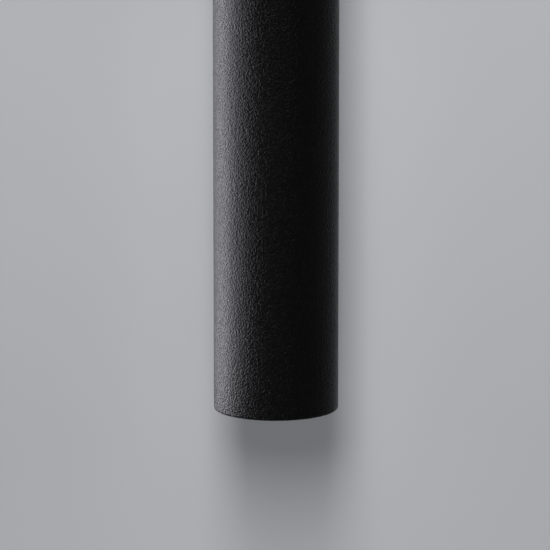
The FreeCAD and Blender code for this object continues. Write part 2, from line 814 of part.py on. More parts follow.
def make_terminal_screws():
    """The slotted screws that clamp the wires in the inserts."""
    half = TERMINAL_GROOVE_WIDTH / 2
    top = TERMINAL_SCREW_LENGTH
    grub = cylinder(M3_RADIUS, (0, 0, 0), (0, 0, top)).cut(
        block(
            (-M3_RADIUS, -half, top - TERMINAL_GROOVE_DEPTH), (M3_RADIUS, half, top)
        )
    )
    tip = INSERT_Y + INSERT_BORE - PAINT_GAP
    return group(
        [
            placed(grub, (x, tip, z), (0, 1, 0))
            for x in pole_places()
            for z in terminal_screw_heights()
        ]
    )


def make_terminal_fixing_screws():
    """The screws that hold the terminal block to the canopy's bosses."""
    length = EAR_THICKNESS + EAR_SCREW_BITE
    return group(
        [
            placed(m3_screw(length), (x, ear_top(), TERMINAL_Z), (0, 1, 0))
            for x in terminal_boss_places()
        ]
    )


# ---------------------------------------------------------------- earth of the canopy
def tag_barrel_y():
    """The y position of the earth tag's barrel, which lies on the tag's flat neck."""
    return EARTH_BOSS_Y + TAG_THICKNESS + LEAD_RADIUS + PAINT_GAP


def make_earth_tag():
    """The ring tag crimped on the earth lead, under the canopy's earth screw."""
    top = EARTH_BOSS_Y + TAG_THICKNESS
    barrel_y = tag_barrel_y()
    ring = cylinder(TAG_RADIUS, (EARTH_X, EARTH_BOSS_Y, EARTH_Z), (EARTH_X, top, EARTH_Z))
    neck_end = EARTH_Z + TAG_NECK
    neck = block(
        (EARTH_X - TAG_BARREL_RADIUS, EARTH_BOSS_Y, EARTH_Z),
        (EARTH_X + TAG_BARREL_RADIUS, top, neck_end + TAG_BARREL_LENGTH),
    )
    barrel = cylinder(
        TAG_BARREL_RADIUS,
        (EARTH_X, barrel_y, neck_end),
        (EARTH_X, barrel_y, neck_end + TAG_BARREL_LENGTH),
    )
    holes = [
        cylinder(
            M4_RADIUS + CLEARANCE_FIT,
            (EARTH_X, EARTH_BOSS_Y, EARTH_Z),
            (EARTH_X, top, EARTH_Z),
        ),
        cylinder(
            LEAD_RADIUS + PAINT_GAP,
            (EARTH_X, barrel_y, neck_end),
            (EARTH_X, barrel_y, neck_end + TAG_BARREL_LENGTH),
        ),
    ]
    return cut(fuse([ring, neck, barrel]), holes)


def make_canopy_earth_screw():
    """The screw that bonds the canopy and the tube to earth."""
    seat = (EARTH_X, EARTH_BOSS_Y + TAG_THICKNESS, EARTH_Z)
    length = TAG_THICKNESS + EARTH_SCREW_BITE
    return placed(m4_screw(length), seat, (0, 1, 0))


# ---------------------------------------------------------------- leads
# The slack of a lead between its lampholder and the bush: how far along it each point
# lies, then its place across the tube, towards its own side and towards the back.
LOWER_SLACK = ((0.1, 5.0, 0.0), (0.3, 3.6, -3.0), (0.56, 4.4, 1.8), (0.8, 2.2, -2.2))
UPPER_SLACK = ((0.08, 5.0, 0.0), (0.26, 4.1, 3.0), (0.5, 3.2, -1.6), (0.76, 2.6, 2.4))


def lead_stretches(end, pole):
    """The route of one lamp lead, from its contact to its pole.

    end is -1 for the lower lampholder and 1 for the upper one. pole is 0 for live and
    1 for neutral.
    """
    side = (-1, 1)[pole]
    contact_z = end * (TUBE_END - CONTACT_FRONT - CONTACT_THICKNESS)
    bush_z = LEAD_BUSH_Z + end * LEAD_PITCH / 2
    bush_x = side * LEAD_PITCH / 2
    rise_y = INSERT_Y - end * LEAD_PITCH / 2
    half_way = AXIS_Y + (rise_y - AXIS_Y) / 2
    top_z = TERMINAL_BOTTOM - FERRULE_BARE
    pole_x = pole_places()[pole]
    in_tube = [(side * PIN_SPACING / 2, AXIS_Y, contact_z)]
    for share, across, back in (LOWER_SLACK if end < 0 else UPPER_SLACK):
        height = contact_z + share * (bush_z - contact_z)
        in_tube.append((side * across, AXIS_Y + back, height))
    in_tube += [(bush_x, AXIS_Y, bush_z), (bush_x, half_way, bush_z)]
    in_canopy = [
        (bush_x, half_way, bush_z),
        (bush_x, rise_y, bush_z),
        (bush_x, rise_y, top_z - LEAD_SPREAD - LEAD_STRAIGHT),
        (pole_x, rise_y, top_z - LEAD_STRAIGHT),
        (pole_x, rise_y, top_z),
    ]
    return [(in_tube, LEAD_TUBE_BEND), (in_canopy, LEAD_BEND)]


def earth_stretches():
    """The route of the earth lead, from its tag to the earth pole."""
    barrel_y = tag_barrel_y()
    start = EARTH_Z + TAG_NECK
    top_z = TERMINAL_BOTTOM - FERRULE_BARE
    pole_x = pole_places()[2]
    points = [
        (EARTH_X, barrel_y, start),
        (EARTH_X, barrel_y, start + TAG_BARREL_LENGTH + LEAD_STRAIGHT),
        (
            EARTH_X - EARTH_LEAD_BOW,
            INSERT_Y + EARTH_LEAD_BOW,
            start + LEAD_SPREAD + LEAD_STRAIGHT,
        ),
        (pole_x, INSERT_Y, top_z - LEAD_STRAIGHT),
        (pole_x, INSERT_Y, top_z),
    ]
    return [(points, LEAD_TUBE_BEND)]


def make_ferrules():
    """The crimped ferrules on the leads' ends, inside the terminal block."""
    places = [
        (pole_places()[pole], INSERT_Y - end * LEAD_PITCH / 2)
        for end in (-1, 1)
        for pole in (0, 1)
    ]
    places.append((pole_places()[2], INSERT_Y))
    return group(
        [
            cylinder(
                FERRULE_RADIUS,
                (x, y, TERMINAL_BOTTOM - FERRULE_BARE),
                (x, y, TERMINAL_BOTTOM + FERRULE_INSIDE),
            )
            for x, y in places
        ]
    )


# ---------------------------------------------------------------- end pieces
# These are made on the Z axis, with depth from the tube's end as height. The back of the
# tube is at +Y.
def make_baffle():
    """The glare baffle: a ring with steps inside that narrow towards the lamp."""
    outer = TUBE_BORE - BAFFLE_CLEARANCE
    front, back = BAFFLE_RECESS, BAFFLE_RECESS + BAFFLE_LENGTH
    mouth, throat = outer - BAFFLE_LIP, outer - BAFFLE_BACK_LIP
    points = [(outer, front), (outer, back)]
    fall = (mouth - throat) / BAFFLE_STEPS
    rise = (back - front - BAFFLE_LIP) / BAFFLE_STEPS
    for step in range(BAFFLE_STEPS):
        radius = throat + step * fall
        points.append((radius, back - step * rise))
        points.append((radius, back - (step + 1) * rise))
    points.append((mouth, front + BAFFLE_LIP))
    points.append((mouth, front))
    ring = revolved(points)
    ring = ring.makeFillet(BAFFLE_LIP_ROUND, circle_edges(ring, mouth, front))
    return cut(ring, [spring_pocket(index) for index in range(SPRING_COUNT)])


def spring_span():
    """The depths between which the leaf springs lie."""
    middle = BAFFLE_RECESS + BAFFLE_LENGTH / 2
    return middle - SPRING_LENGTH / 2, middle + SPRING_LENGTH / 2


def spring_pocket(index):
    """The pocket in the baffle's outside for one leaf spring."""
    low, high = spring_span()
    outer = TUBE_BORE - BAFFLE_CLEARANCE
    half = SPRING_WIDTH / 2 + POCKET_CLEARANCE
    pocket = block(
        (outer - POCKET_DEPTH, -half, low - POCKET_CLEARANCE),
        (outer + POCKET_DEPTH, half, high + POCKET_CLEARANCE),
    )
    return turned(pocket, spring_angle(index))


def spring_angle(index):
    """Where each spring stands round the baffle, in degrees."""
    return 90 + 360 * index / SPRING_COUNT


def make_baffle_springs():
    """The bowed leaf springs that grip the tube's bore."""
    low, high = spring_span()
    foot = TUBE_BORE - BAFFLE_CLEARANCE - POCKET_DEPTH + PAINT_GAP
    middle = (low + high) / 2
    inner = Part.Arc(
        Vec(foot, 0, low), Vec(foot + SPRING_BOW, 0, middle), Vec(foot, 0, high)
    )
    outside = foot + SPRING_THICKNESS
    outer = Part.Arc(
        Vec(outside, 0, high), Vec(outside + SPRING_BOW, 0, middle), Vec(outside, 0, low)
    )
    wire = Part.Wire(
        [
            inner.toShape(),
            Part.LineSegment(Vec(foot, 0, high), Vec(outside, 0, high)).toShape(),
            outer.toShape(),
            Part.LineSegment(Vec(outside, 0, low), Vec(foot, 0, low)).toShape(),
        ]
    )
    leaf = Part.Face(wire).extrude(Vec(0, SPRING_WIDTH, 0))
    leaf.translate(Vec(0, -SPRING_WIDTH / 2, 0))
    return group([turned(leaf, spring_angle(index)) for index in range(SPRING_COUNT)])


def shell_radius(depth):
    """The lamp shell's outer radius at a depth behind its front, past the rim."""
    share = (depth - LAMP_RIM_DEPTH) / (LAMP_SHELL_LENGTH - LAMP_RIM_DEPTH)
    return LAMP_RADIUS + (LAMP_NECK_RADIUS - LAMP_RADIUS) * share


def fin_slot(index):
    """One of the slots that leave cooling fins on the outside of the lamp shell."""
    start = BOARD_DEPTH + BOARD_THICKNESS + LAMP_WALL
    half = FIN_SLOT_WIDTH / 2
    gap = block(
        (FIN_ROOT_RADIUS, -half, LAMP_FRONT + start),
        (LAMP_RADIUS, half, LAMP_NECK),
    )
    return turned(gap, 360 * (index + 0.5) / FIN_COUNT)


def make_lamp_shell():
    """The lamp's finned shell, hollow behind its lens, with a ledge for the LED board."""
    board_back = BOARD_DEPTH + BOARD_THICKNESS
    lens_seat = LENS_RECESS + LENS_THICKNESS
    inner_rim = LAMP_RADIUS - LAMP_RIM_WIDTH
    neck_bore = LAMP_NECK_RADIUS - LAMP_WALL
    cone = shell_radius(BOARD_DEPTH) - LAMP_WALL
    outline = [
        (LAMP_RADIUS, 0),
        (LAMP_RADIUS, LAMP_RIM_DEPTH),
        (LAMP_NECK_RADIUS, LAMP_SHELL_LENGTH),
        (neck_bore, LAMP_SHELL_LENGTH),
        (neck_bore, board_back),
        (BOARD_RADIUS + LENS_FIT, board_back),
        (BOARD_RADIUS + LENS_FIT, BOARD_DEPTH),
        (cone, BOARD_DEPTH),
        (inner_rim - LAMP_RIM_WIDTH, lens_seat),
        (inner_rim, lens_seat),
        (inner_rim, 0),
    ]
    shell = revolved([(radius, LAMP_FRONT + depth) for radius, depth in outline])
    shell = shell.makeFillet(
        LAMP_RIM_ROUND, circle_edges(shell, LAMP_RADIUS, LAMP_FRONT)
    )
    return cut(shell, [fin_slot(index) for index in range(FIN_COUNT)])


def make_lamp_base():
    """The lamp's insulating base, which carries the pins."""
    plug_radius = LAMP_NECK_RADIUS - LAMP_WALL - LENS_FIT
    plug = cylinder(plug_radius, (0, 0, LAMP_NECK - LAMP_PLUG), (0, 0, LAMP_NECK))
    cone = Part.makeCone(
        LAMP_NECK_RADIUS, LAMP_BASE_RADIUS, LAMP_BASE_LENGTH, Vec(0, 0, LAMP_NECK)
    )
    cone = cone.makeFillet(
        LAMP_BASE_ROUND, circle_edges(cone, LAMP_BASE_RADIUS, LAMP_BACK)
    )
    sockets = [
        cylinder(
            PIN_NECK_RADIUS + PAINT_GAP, (x, 0, LAMP_BACK - PIN_ROOT), (x, 0, LAMP_BACK)
        )
        for x in (-PIN_SPACING / 2, PIN_SPACING / 2)
    ]
    return cut(fuse([plug, cone]), sockets)


def make_lamp_pins():
    """The two contact pins, each with a wider head that locks in the holder."""
    neck_end = LAMP_BACK + PIN_NECK_LENGTH
    pins = []
    for x in (-PIN_SPACING / 2, PIN_SPACING / 2):
        neck = cylinder(PIN_NECK_RADIUS, (x, 0, LAMP_BACK - PIN_ROOT), (x, 0, neck_end))
        head = cylinder(PIN_HEAD_RADIUS, (0, 0, 0), (0, 0, PIN_HEAD_LENGTH))
        head = head.makeFillet(
            PIN_HEAD_ROUND, circle_edges(head, PIN_HEAD_RADIUS, PIN_HEAD_LENGTH)
        )
        head.translate(Vec(x, 0, neck_end))
        pins.append(fuse([neck, head]))
    return group(pins)


def led_places():
    """The (x, y) places of the LEDs: one in the middle and a ring of more."""
    steps = [2 * math.pi * index / LED_RING_COUNT for index in range(LED_RING_COUNT)]
    ring = [(LED_RING_RADIUS * math.cos(a), LED_RING_RADIUS * math.sin(a)) for a in steps]
    return [(0.0, 0.0)] + ring


def make_lamp_lens():
    """The lamp's front lens, with a low dome in front of each LED."""
    radius = LAMP_RADIUS - LAMP_RIM_WIDTH - LENS_FIT
    front = LAMP_FRONT + LENS_RECESS
    back = front + LENS_THICKNESS
    disc = cylinder(radius, (0, 0, front), (0, 0, back))
    sphere_radius = (DOME_RADIUS**2 + DOME_HEIGHT**2) / (2 * DOME_HEIGHT)
    domes = []
    for x, y in led_places():
        centre = Vec(x, y, front - DOME_HEIGHT + sphere_radius)
        core = cylinder(DOME_RADIUS, (x, y, front - DOME_HEIGHT), (x, y, back))
        domes.append(Part.makeSphere(sphere_radius, centre).common(core))
    return fuse([disc] + domes)


def make_led_board():
    """The round board that carries the LEDs, on the shell's ledge."""
    front = LAMP_FRONT + BOARD_DEPTH
    return cylinder(BOARD_RADIUS, (0, 0, front), (0, 0, front + BOARD_THICKNESS))


def make_leds():
    """The LEDs on the board."""
    high = LAMP_FRONT + BOARD_DEPTH
    half = LED_SIZE / 2
    return group(
        [
            block((x - half, y - half, high - LED_THICKNESS), (x + half, y + half, high))
            for x, y in led_places()
        ]
    )


def arc_channel(radius, low, high, angle):
    """The space that a round pin of that radius sweeps as it turns by angle."""
    at = PIN_SPACING / 2
    start = cylinder(radius, (at, 0, low), (at, 0, high))
    profile = Part.Face(
        Part.makePolygon(
            [
                Vec(at - radius, 0, low),
                Vec(at + radius, 0, low),
                Vec(at + radius, 0, high),
                Vec(at - radius, 0, high),
                Vec(at - radius, 0, low),
            ]
        )
    )
    sweep = profile.revolve(Vec(0, 0, 0), Vec(0, 0, 1), angle)
    return fuse([sweep, start, turned(start, angle)])


def make_lampholder():
    """The ceramic lampholder, with two keyholes that lock the lamp's pins."""
    half_x, half_y = HOLDER_WIDTH / 2, HOLDER_DEPTH / 2
    body = block((-half_x, -half_y, HOLDER_FRONT), (half_x, half_y, HOLDER_BACK))
    upright = [
        edge
        for edge in body.Edges
        if abs(edge.Vertexes[0].Z - edge.Vertexes[1].Z) > 1e-6
    ]
    body = body.makeFillet(HOLDER_CORNER, upright)
    rim = [
        edge
        for edge in body.Edges
        if abs(edge.BoundBox.ZMax - HOLDER_FRONT) < 1e-6
    ]
    body = body.makeFillet(HOLDER_ROUND, rim)
    under = HOLDER_FRONT + HOLDER_FACE
    floor = CONTACT_FRONT + CONTACT_THICKNESS
    tools = []
    for side in (0, 180):
        neck = arc_channel(
            PIN_NECK_RADIUS + HOLDER_SLOT_FIT, HOLDER_FRONT, under, -LAMP_TWIST
        )
        head = arc_channel(
            PIN_HEAD_RADIUS + HOLDER_SLOT_FIT, under, floor, -LAMP_TWIST
        )
        at = PIN_SPACING / 2
        entry = cylinder(
            PIN_HEAD_RADIUS + HOLDER_SLOT_FIT, (at, 0, HOLDER_FRONT), (at, 0, under)
        )
        lead_hole = cylinder(
            LEAD_RADIUS + CLEARANCE_FIT, (at, 0, floor), (at, 0, HOLDER_BACK)
        )
        keyhole = [neck, head, turned(entry, -LAMP_TWIST), lead_hole]
        tools += [turned(tool, side) for tool in keyhole]
    for x in (-HOLDER_SCREW_X, HOLDER_SCREW_X):
        tools.append(
            cylinder(
                M3_RADIUS + CLEARANCE_FIT, (x, 0, HOLDER_FRONT), (x, 0, HOLDER_BACK)
            )
        )
        tools.append(
            cylinder(
                M3_HEAD_RADIUS + CLEARANCE_FIT, (x, 0, HOLDER_FRONT), (x, 0, under)
            )
        )
    return cut(body, tools)


def make_contacts():
    """The brass contacts that press on the ends of the locked pins."""
    front = CONTACT_FRONT
    half = CONTACT_WIDTH / 2
    at = PIN_SPACING / 2
    plate = block((at - half, -half, front), (at + half, half, front + CONTACT_THICKNESS))
    return group([plate, turned(plate, 180)])


def make_holder_screws():
    """The screws through the holder into its bracket."""
    seat = HOLDER_FRONT + HOLDER_FACE
    length = BRACKET_BACK - seat
    return group(
        [
            placed(m3_screw(length), (x, 0, seat), (0, 0, -1))
            for x in (-HOLDER_SCREW_X, HOLDER_SCREW_X)
        ]
    )


def make_holder_bracket():
    """The bent bracket that carries the holder and is screwed to the back of the tube."""
    half_x = HOLDER_WIDTH / 2 + BRACKET_MARGIN
    half_y = HOLDER_DEPTH / 2 + BRACKET_MARGIN
    tab_x = BRACKET_TAB_WIDTH / 2
    seat = block((-half_x, -half_y, HOLDER_BACK), (half_x, half_y, BRACKET_BACK))
    neck = block((-tab_x, 0, HOLDER_BACK), (tab_x, TAB_BACK_Y, BRACKET_BACK))
    tab = block(
        (-tab_x, TAB_BACK_Y - BRACKET_THICKNESS, HOLDER_BACK),
        (tab_x, TAB_BACK_Y, BRACKET_BACK + BRACKET_TAB_LENGTH),
    )
    holes = [
        cylinder(M3_RADIUS + THREAD_FIT, (x, 0, HOLDER_BACK), (x, 0, BRACKET_BACK))
        for x in (-HOLDER_SCREW_X, HOLDER_SCREW_X)
    ]
    holes += [
        cylinder(
            LEAD_RADIUS + 2 * CLEARANCE_FIT, (x, 0, HOLDER_BACK), (x, 0, BRACKET_BACK)
        )
        for x in (-PIN_SPACING / 2, PIN_SPACING / 2)
    ]
    holes += [
        cylinder(
            M3_RADIUS + THREAD_FIT,
            (0, 0, BRACKET_BACK + along),
            (0, TUBE_RADIUS, BRACKET_BACK + along),
        )
        for along in BRACKET_SCREWS
    ]
    return cut(fuse([seat, neck, tab]), holes)


def make_bracket_screws():
    """The small screws through the back of the tube into the bracket's tab."""
    return group(
        [
            placed(
                m3_screw(BRACKET_SCREW_LENGTH),
                (0, TUBE_RADIUS + PAINT_GAP, BRACKET_BACK + along),
                (0, 1, 0),
            )
            for along in BRACKET_SCREWS
        ]
    )


# ---------------------------------------------------------------- all nodes
END_PIECES = {
    "glare_baffle": make_baffle,
    "baffle_springs": make_baffle_springs,
    "lamp_shell": make_lamp_shell,
    "lamp_base": make_lamp_base,
    "lamp_pins": make_lamp_pins,
    "lamp_lens": make_lamp_lens,
    "led_board": make_led_board,
    "leds": make_leds,
    "lampholder": make_lampholder,
    "holder_contacts": make_contacts,
    "holder_screws": make_holder_screws,
    "holder_bracket": make_holder_bracket,
    "bracket_screws": make_bracket_screws,
}


def all_nodes():
    """Every sub-part by its node's name."""
    nodes = {
        "wall_plate": make_wall_plate(),
        "weld_nuts": make_weld_nuts(),
        "cable_bushing": make_cable_bushing(),
        "earth_washer": make_earth_washer(),
        "earth_screw": make_earth_screw(),
        "left_clamp_washer": make_clamp_washer(-1),
        "right_clamp_washer": make_clamp_washer(1),
        "left_clamp_screw": make_clamp_screw(-1),
        "right_clamp_screw": make_clamp_screw(1),
        "tube": make_tube(),
        "canopy": make_canopy(),
        "rim_seal": make_rim_seal(),
        "saddle_washers": make_saddle_washers(),
        "saddle_screws": make_saddle_screws(),
        "saddle_nut_plate": make_saddle_nut_plate(),
        "lead_bush": make_lead_bush(),
        "terminal_block": make_terminal_block(),
        "terminal_inserts": make_terminal_inserts(),
        "terminal_screws": make_terminal_screws(),
        "terminal_fixing_screws": make_terminal_fixing_screws(),
        "earth_tag": make_earth_tag(),
        "canopy_earth_screw": make_canopy_earth_screw(),
        "earth_lead": lead("earth_lead", earth_stretches()),
        "lead_ferrules": make_ferrules(),
    }
    for name, end in (("lower", -1), ("upper", 1)):
        for pole, conductor in enumerate(("live", "neutral")):
            node = name + "_" + conductor + "_lead"
            nodes[node] = lead(node, lead_stretches(end, pole))
    for name, make in END_PIECES.items():
        piece = make()
        nodes["lower_" + name] = at_lower_end(piece)
        nodes["upper_" + name] = at_upper_end(piece)
    return nodes


def main():
    """Writes every sub-part and prints its volume."""
    os.makedirs("parts", exist_ok=True)
    for name, shape in all_nodes().items():
        if not shape.isValid() or not shape.Solids:
            raise ValueError(name + " isn't a valid solid")
        shape.exportStep("parts/" + name + ".step")
        print(name, len(shape.Solids), "solids", round(shape.Volume, 1), "mm3")


main()
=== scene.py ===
"""Looks of the tube wall light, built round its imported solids.

An upright tube in black pebbled coating stands off a pale wall on a slim canopy, with one
lamp at each end. Everything is in metres in the part's own frame: the wall is the plane
y = 0, the room is at -Y and +Z is up.
"""

import logging
import math
from abc import ABC, abstractmethod
from dataclasses import dataclass
from enum import Enum

import bmesh
import bpy
from mathutils import Matrix, Vector


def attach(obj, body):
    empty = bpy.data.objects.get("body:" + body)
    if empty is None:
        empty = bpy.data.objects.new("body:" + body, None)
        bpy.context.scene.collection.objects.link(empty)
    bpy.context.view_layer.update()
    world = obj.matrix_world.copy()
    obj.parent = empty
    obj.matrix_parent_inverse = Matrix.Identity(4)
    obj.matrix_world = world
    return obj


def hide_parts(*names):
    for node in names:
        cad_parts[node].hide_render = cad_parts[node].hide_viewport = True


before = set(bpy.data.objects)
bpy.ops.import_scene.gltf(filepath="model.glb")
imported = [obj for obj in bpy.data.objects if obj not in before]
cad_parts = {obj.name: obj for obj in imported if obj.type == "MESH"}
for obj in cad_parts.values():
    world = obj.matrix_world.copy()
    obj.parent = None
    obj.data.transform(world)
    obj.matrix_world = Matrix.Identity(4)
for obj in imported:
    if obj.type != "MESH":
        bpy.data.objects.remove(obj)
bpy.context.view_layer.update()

MM = 0.001
AXIS_Y = -64 * MM  # the tube's own axis, in front of the wall
SMOOTH_ANGLE = math.radians(32)
ON_AXIS = 1e-9  # a smaller radius is a point on the axis
UNIT = (0.0, 1.0)

log = logging.getLogger("tube_wall_light")

Colour = tuple[float, float, float]
Socket = bpy.types.NodeSocket
Node = bpy.types.Node


# ---------------------------------------------------------------- node trees
class Graph:
    """A node tree while it is being wired."""

    def __init__(self, tree: bpy.types.NodeTree) -> None:
        """Takes the tree that gets the nodes."""
        self.tree = tree

    def add(self, kind: str, inputs: dict | None = None, **settings: object) -> Node:
        """Adds a node.

        Args:
            kind: The node's type name.
            inputs: A value or an output socket for each named or numbered input.
            **settings: The node's own options.

        Returns:
            The new node.
        """
        node = self.tree.nodes.new(kind)
        for name, value in settings.items():
            setattr(node, name, value)
        for key, value in (inputs or {}).items():
            self.feed(node.inputs[key], value)
        return node

    def feed(self, socket: Socket, value: object) -> None:
        """Links a socket to an input, or sets a plain value there.

        Args:
            socket: The input.
            value: The output socket or the plain value that it gets.
        """
        if isinstance(value, bpy.types.NodeSocket):
            self.tree.links.new(value, socket)
        else:
            socket.default_value = value

    def math(self, operation: str, *values: object) -> Socket:
        """The output of a Math node.

        Args:
            operation: The name of the operation.
            *values: A number or a socket for each input.

        Returns:
            The node's output socket.
        """
        inputs = dict(enumerate(values))
        return self.add("ShaderNodeMath", inputs, operation=operation).outputs[0]

    def vector(self, operation: str, *values: object) -> Socket:
        """The vector output of a Vector Math node.

        Args:
            operation: The name of the operation.
            *values: A vector or a socket for each input.

        Returns:
            The node's first output socket.
        """
        inputs = dict(enumerate(values))
        node = self.add("ShaderNodeVectorMath", inputs, operation=operation)
        return node.outputs["Vector"]

    def remap(self, value: Socket, low: float, high: float, to: tuple) -> Socket:
        """Value moved from the span low to high into the span to, and held inside it.

        Args:
            value: What is remapped.
            low: The value that gives the first end of the new span.
            high: The value that gives its second end.
            to: The new span, as two numbers or sockets.

        Returns:
            The remapped value.
        """
        inputs = {0: value, 1: low, 2: high, 3: to[0], 4: to[1]}
        return self.add("ShaderNodeMapRange", inputs, clamp=True).outputs[0]

    def blend(self, share: Socket, low: object, high: object) -> Socket:
        """A colour between two others.

        Args:
            share: How much of the second colour shows.
            low: The first colour, or its socket.
            high: The second colour, or its socket.

        Returns:
            The mixed colour.
        """
        inputs = {0: share, 6: opaque(low), 7: opaque(high)}
        return self.add("ShaderNodeMix", inputs, data_type="RGBA").outputs[2]

    def noise(self, place: Socket, scale: float | Socket, detail: float) -> Node:
        """A noise texture.

        Args:
            place: The coordinates.
            scale: How many swells there are in a unit of the coordinates.
            detail: How many finer octaves it has.

        Returns:
            The texture node.
        """
        inputs = {"Vector": place, "Scale": scale, "Detail": detail}
        return self.add("ShaderNodeTexNoise", inputs)


def opaque(value: object) -> object:
    """A colour with its alpha, or the socket as it is."""
    return (*value, 1.0) if isinstance(value, tuple) else value


# ---------------------------------------------------------------- shared effects
NOISE_DETAIL = 3.0  # finer octaves of the grain and the drift
GRAIN_SPAN = (0.3, 0.7)  # the part of the noise that becomes a height from 0 to 1
SPECK_SPAN = (0.66, 0.74)  # the noise from where specks start to where they are full
LINES_SPAN = (0.25, 0.75)
DRIFT_SPAN = (0.32, 0.68)
EDGE_SPAN = (0.99, 0.82)  # cosine between the rounded normal and the plain one
EDGE_SAMPLES = 4


class Effect(Enum):
    """The effects that several materials share."""

    PEBBLE = "pebbled_coat"
    GRAIN = "fine_grain"
    LINES = "drawn_lines"
    EDGES = "rounded_edge_mask"
    DRIFT = "slow_drift"


@dataclass(frozen=True)
class PebbleShape:
    """How the pebbled skin is put together, in units of one pebble."""

    warp_scale: float = 0.7
    warp_reach: float = 1.3
    merging: float = 0.6
    dome_reach: float = 0.75
    dome_share: float = 0.6
    swell_scale: float = 0.75
    swell_share: float = 0.9
    fine_scale: float = 2.4
    fine_share: float = 0.22
    height_span: tuple[float, float] = (0.35, 1.25)
    hollow_span: tuple[float, float] = (0.45, 0.2)  # where pits start and are full


class EffectShelf:
    """Makes each shared effect once, as a shader node group."""

    def __init__(self) -> None:
        """Starts with no group made."""
        self.made: dict[Effect, bpy.types.NodeTree] = {}

    def use(self, graph: Graph, effect: Effect, **inputs: object) -> Node:
        """Places an effect in a material.

        Args:
            graph: The material's graph.
            effect: Which effect.
            **inputs: Its values. An underscore in a name stands for a space.

        Returns:
            The group node, with the effect's outputs.
        """
        if effect not in self.made:
            self.made[effect] = getattr(self, "make_" + effect.name.lower())()
        node = graph.add("ShaderNodeGroup", node_tree=self.made[effect])
        for name, value in inputs.items():
            graph.feed(node.inputs[name.replace("_", " ")], value)
        return node

    def start(self, effect: Effect, inputs: dict, outputs: dict) -> tuple:
        """Starts the node group of an effect.

        Args:
            effect: Which effect.
            inputs: The socket type and the first value of each input, by name.
            outputs: The socket type of each output, by name.

        Returns:
            The group's graph, its input node and its output node.
        """
        tree = bpy.data.node_groups.new(effect.value, "ShaderNodeTree")
        for name, (kind, value) in inputs.items():
            socket = tree.interface.new_socket(name, in_out="INPUT", socket_type=kind)
            if value is not None:
                socket.default_value = value
        for name, kind in outputs.items():
            tree.interface.new_socket(name, in_out="OUTPUT", socket_type=kind)
        graph = Graph(tree)
        return graph, graph.add("NodeGroupInput"), graph.add("NodeGroupOutput")

    def make_pebble(self) -> bpy.types.NodeTree:
        """Makes the pebbled skin of a powder coat: merged soft grains with fine pits.

        Returns:
            The node group.
        """
        form = PebbleShape()
        graph, given, result = self.start(
            Effect.PEBBLE,
            {"Vector": ("NodeSocketVector", None), "Scale": ("NodeSocketFloat", 700.0)},
            {"Height": "NodeSocketFloat", "Hollows": "NodeSocketFloat"},
        )
        place = given.outputs[0]
        place = graph.add("ShaderNodeVectorMath", {0: place}, operation="SCALE")
        graph.feed(place.inputs["Scale"], given.outputs["Scale"])
        place = place.outputs["Vector"]
        warp = graph.noise(place, form.warp_scale, 0.0).outputs["Color"]
        warp = graph.vector("SUBTRACT", warp, (0.5, 0.5, 0.5))
        reach = (form.warp_reach, form.warp_reach, form.warp_reach)
        bent = graph.vector("MULTIPLY_ADD", warp, reach, place)
        cells = graph.add(
            "ShaderNodeTexVoronoi",
            {"Vector": bent, "Scale": 1.0, "Smoothness": form.merging},
            feature="SMOOTH_F1",
        ).outputs["Distance"]
        domes = graph.remap(cells, 0.0, form.dome_reach, (1.0, 0.0))
        domes = graph.math("MULTIPLY", domes, form.dome_share)
        swell = graph.noise(bent, form.swell_scale, 0.0).outputs[0]
        fine = graph.noise(place, form.fine_scale, 1.0).outputs[0]
        mixed = graph.math("MULTIPLY_ADD", swell, form.swell_share, domes)
        height = graph.math("MULTIPLY_ADD", fine, form.fine_share, mixed)
        height = graph.remap(height, *form.height_span, UNIT)
        graph.feed(result.inputs["Height"], height)
        # Hollows marks the pits: the coat paints them darker as painted shade, and makes
        # them rougher.
        graph.feed(result.inputs["Hollows"], graph.remap(height, *form.hollow_span, UNIT))
        return graph.tree

    def make_grain(self) -> bpy.types.NodeTree:
        """Makes fine even grain, as on moulded plastic, rubber and blasted metal.

        Returns:
            The node group.
        """
        graph, given, result = self.start(
            Effect.GRAIN,
            {"Vector": ("NodeSocketVector", None), "Scale": ("NodeSocketFloat", 2500.0)},
            {"Height": "NodeSocketFloat", "Specks": "NodeSocketFloat"},
        )
        scale = given.outputs["Scale"]
        base = graph.noise(given.outputs[0], scale, NOISE_DETAIL).outputs[0]
        graph.feed(result.inputs["Height"], graph.remap(base, *GRAIN_SPAN, UNIT))
        graph.feed(result.inputs["Specks"], graph.remap(base, *SPECK_SPAN, UNIT))
        return graph.tree

    def make_lines(self) -> bpy.types.NodeTree:
        """Makes long fine lines, as rolling, drawing or turning leaves them.

        Returns:
            The node group.
        """
        graph, given, result = self.start(
            Effect.LINES,
            {
                "Vector": ("NodeSocketVector", None),
                "Stretch": ("NodeSocketVector", (4000.0, 4000.0, 120.0)),
            },
            {"Height": "NodeSocketFloat"},
        )
        place = graph.vector("MULTIPLY", given.outputs[0], given.outputs["Stretch"])
        base = graph.noise(place, 1.0, 2.0).outputs[0]
        graph.feed(result.inputs["Height"], graph.remap(base, *LINES_SPAN, UNIT))
        return graph.tree

    def make_edges(self) -> bpy.types.NodeTree:
        """Makes a mask that is 1 on outer and inner edges and 0 on flat faces.

        Returns:
            The node group.
        """
        graph, given, result = self.start(
            Effect.EDGES,
            {"Reach": ("NodeSocketFloat", 0.0006)},
            {"Mask": "NodeSocketFloat"},
        )
        reach = given.outputs[0]
        soft = graph.add("ShaderNodeBevel", {"Radius": reach}, samples=EDGE_SAMPLES)
        plain = graph.add("ShaderNodeNewGeometry").outputs["Normal"]
        dot = graph.add(
            "ShaderNodeVectorMath",
            {0: soft.outputs[0], 1: plain},
            operation="DOT_PRODUCT",
        ).outputs["Value"]
        graph.feed(result.inputs["Mask"], graph.remap(dot, *EDGE_SPAN, UNIT))
        return graph.tree

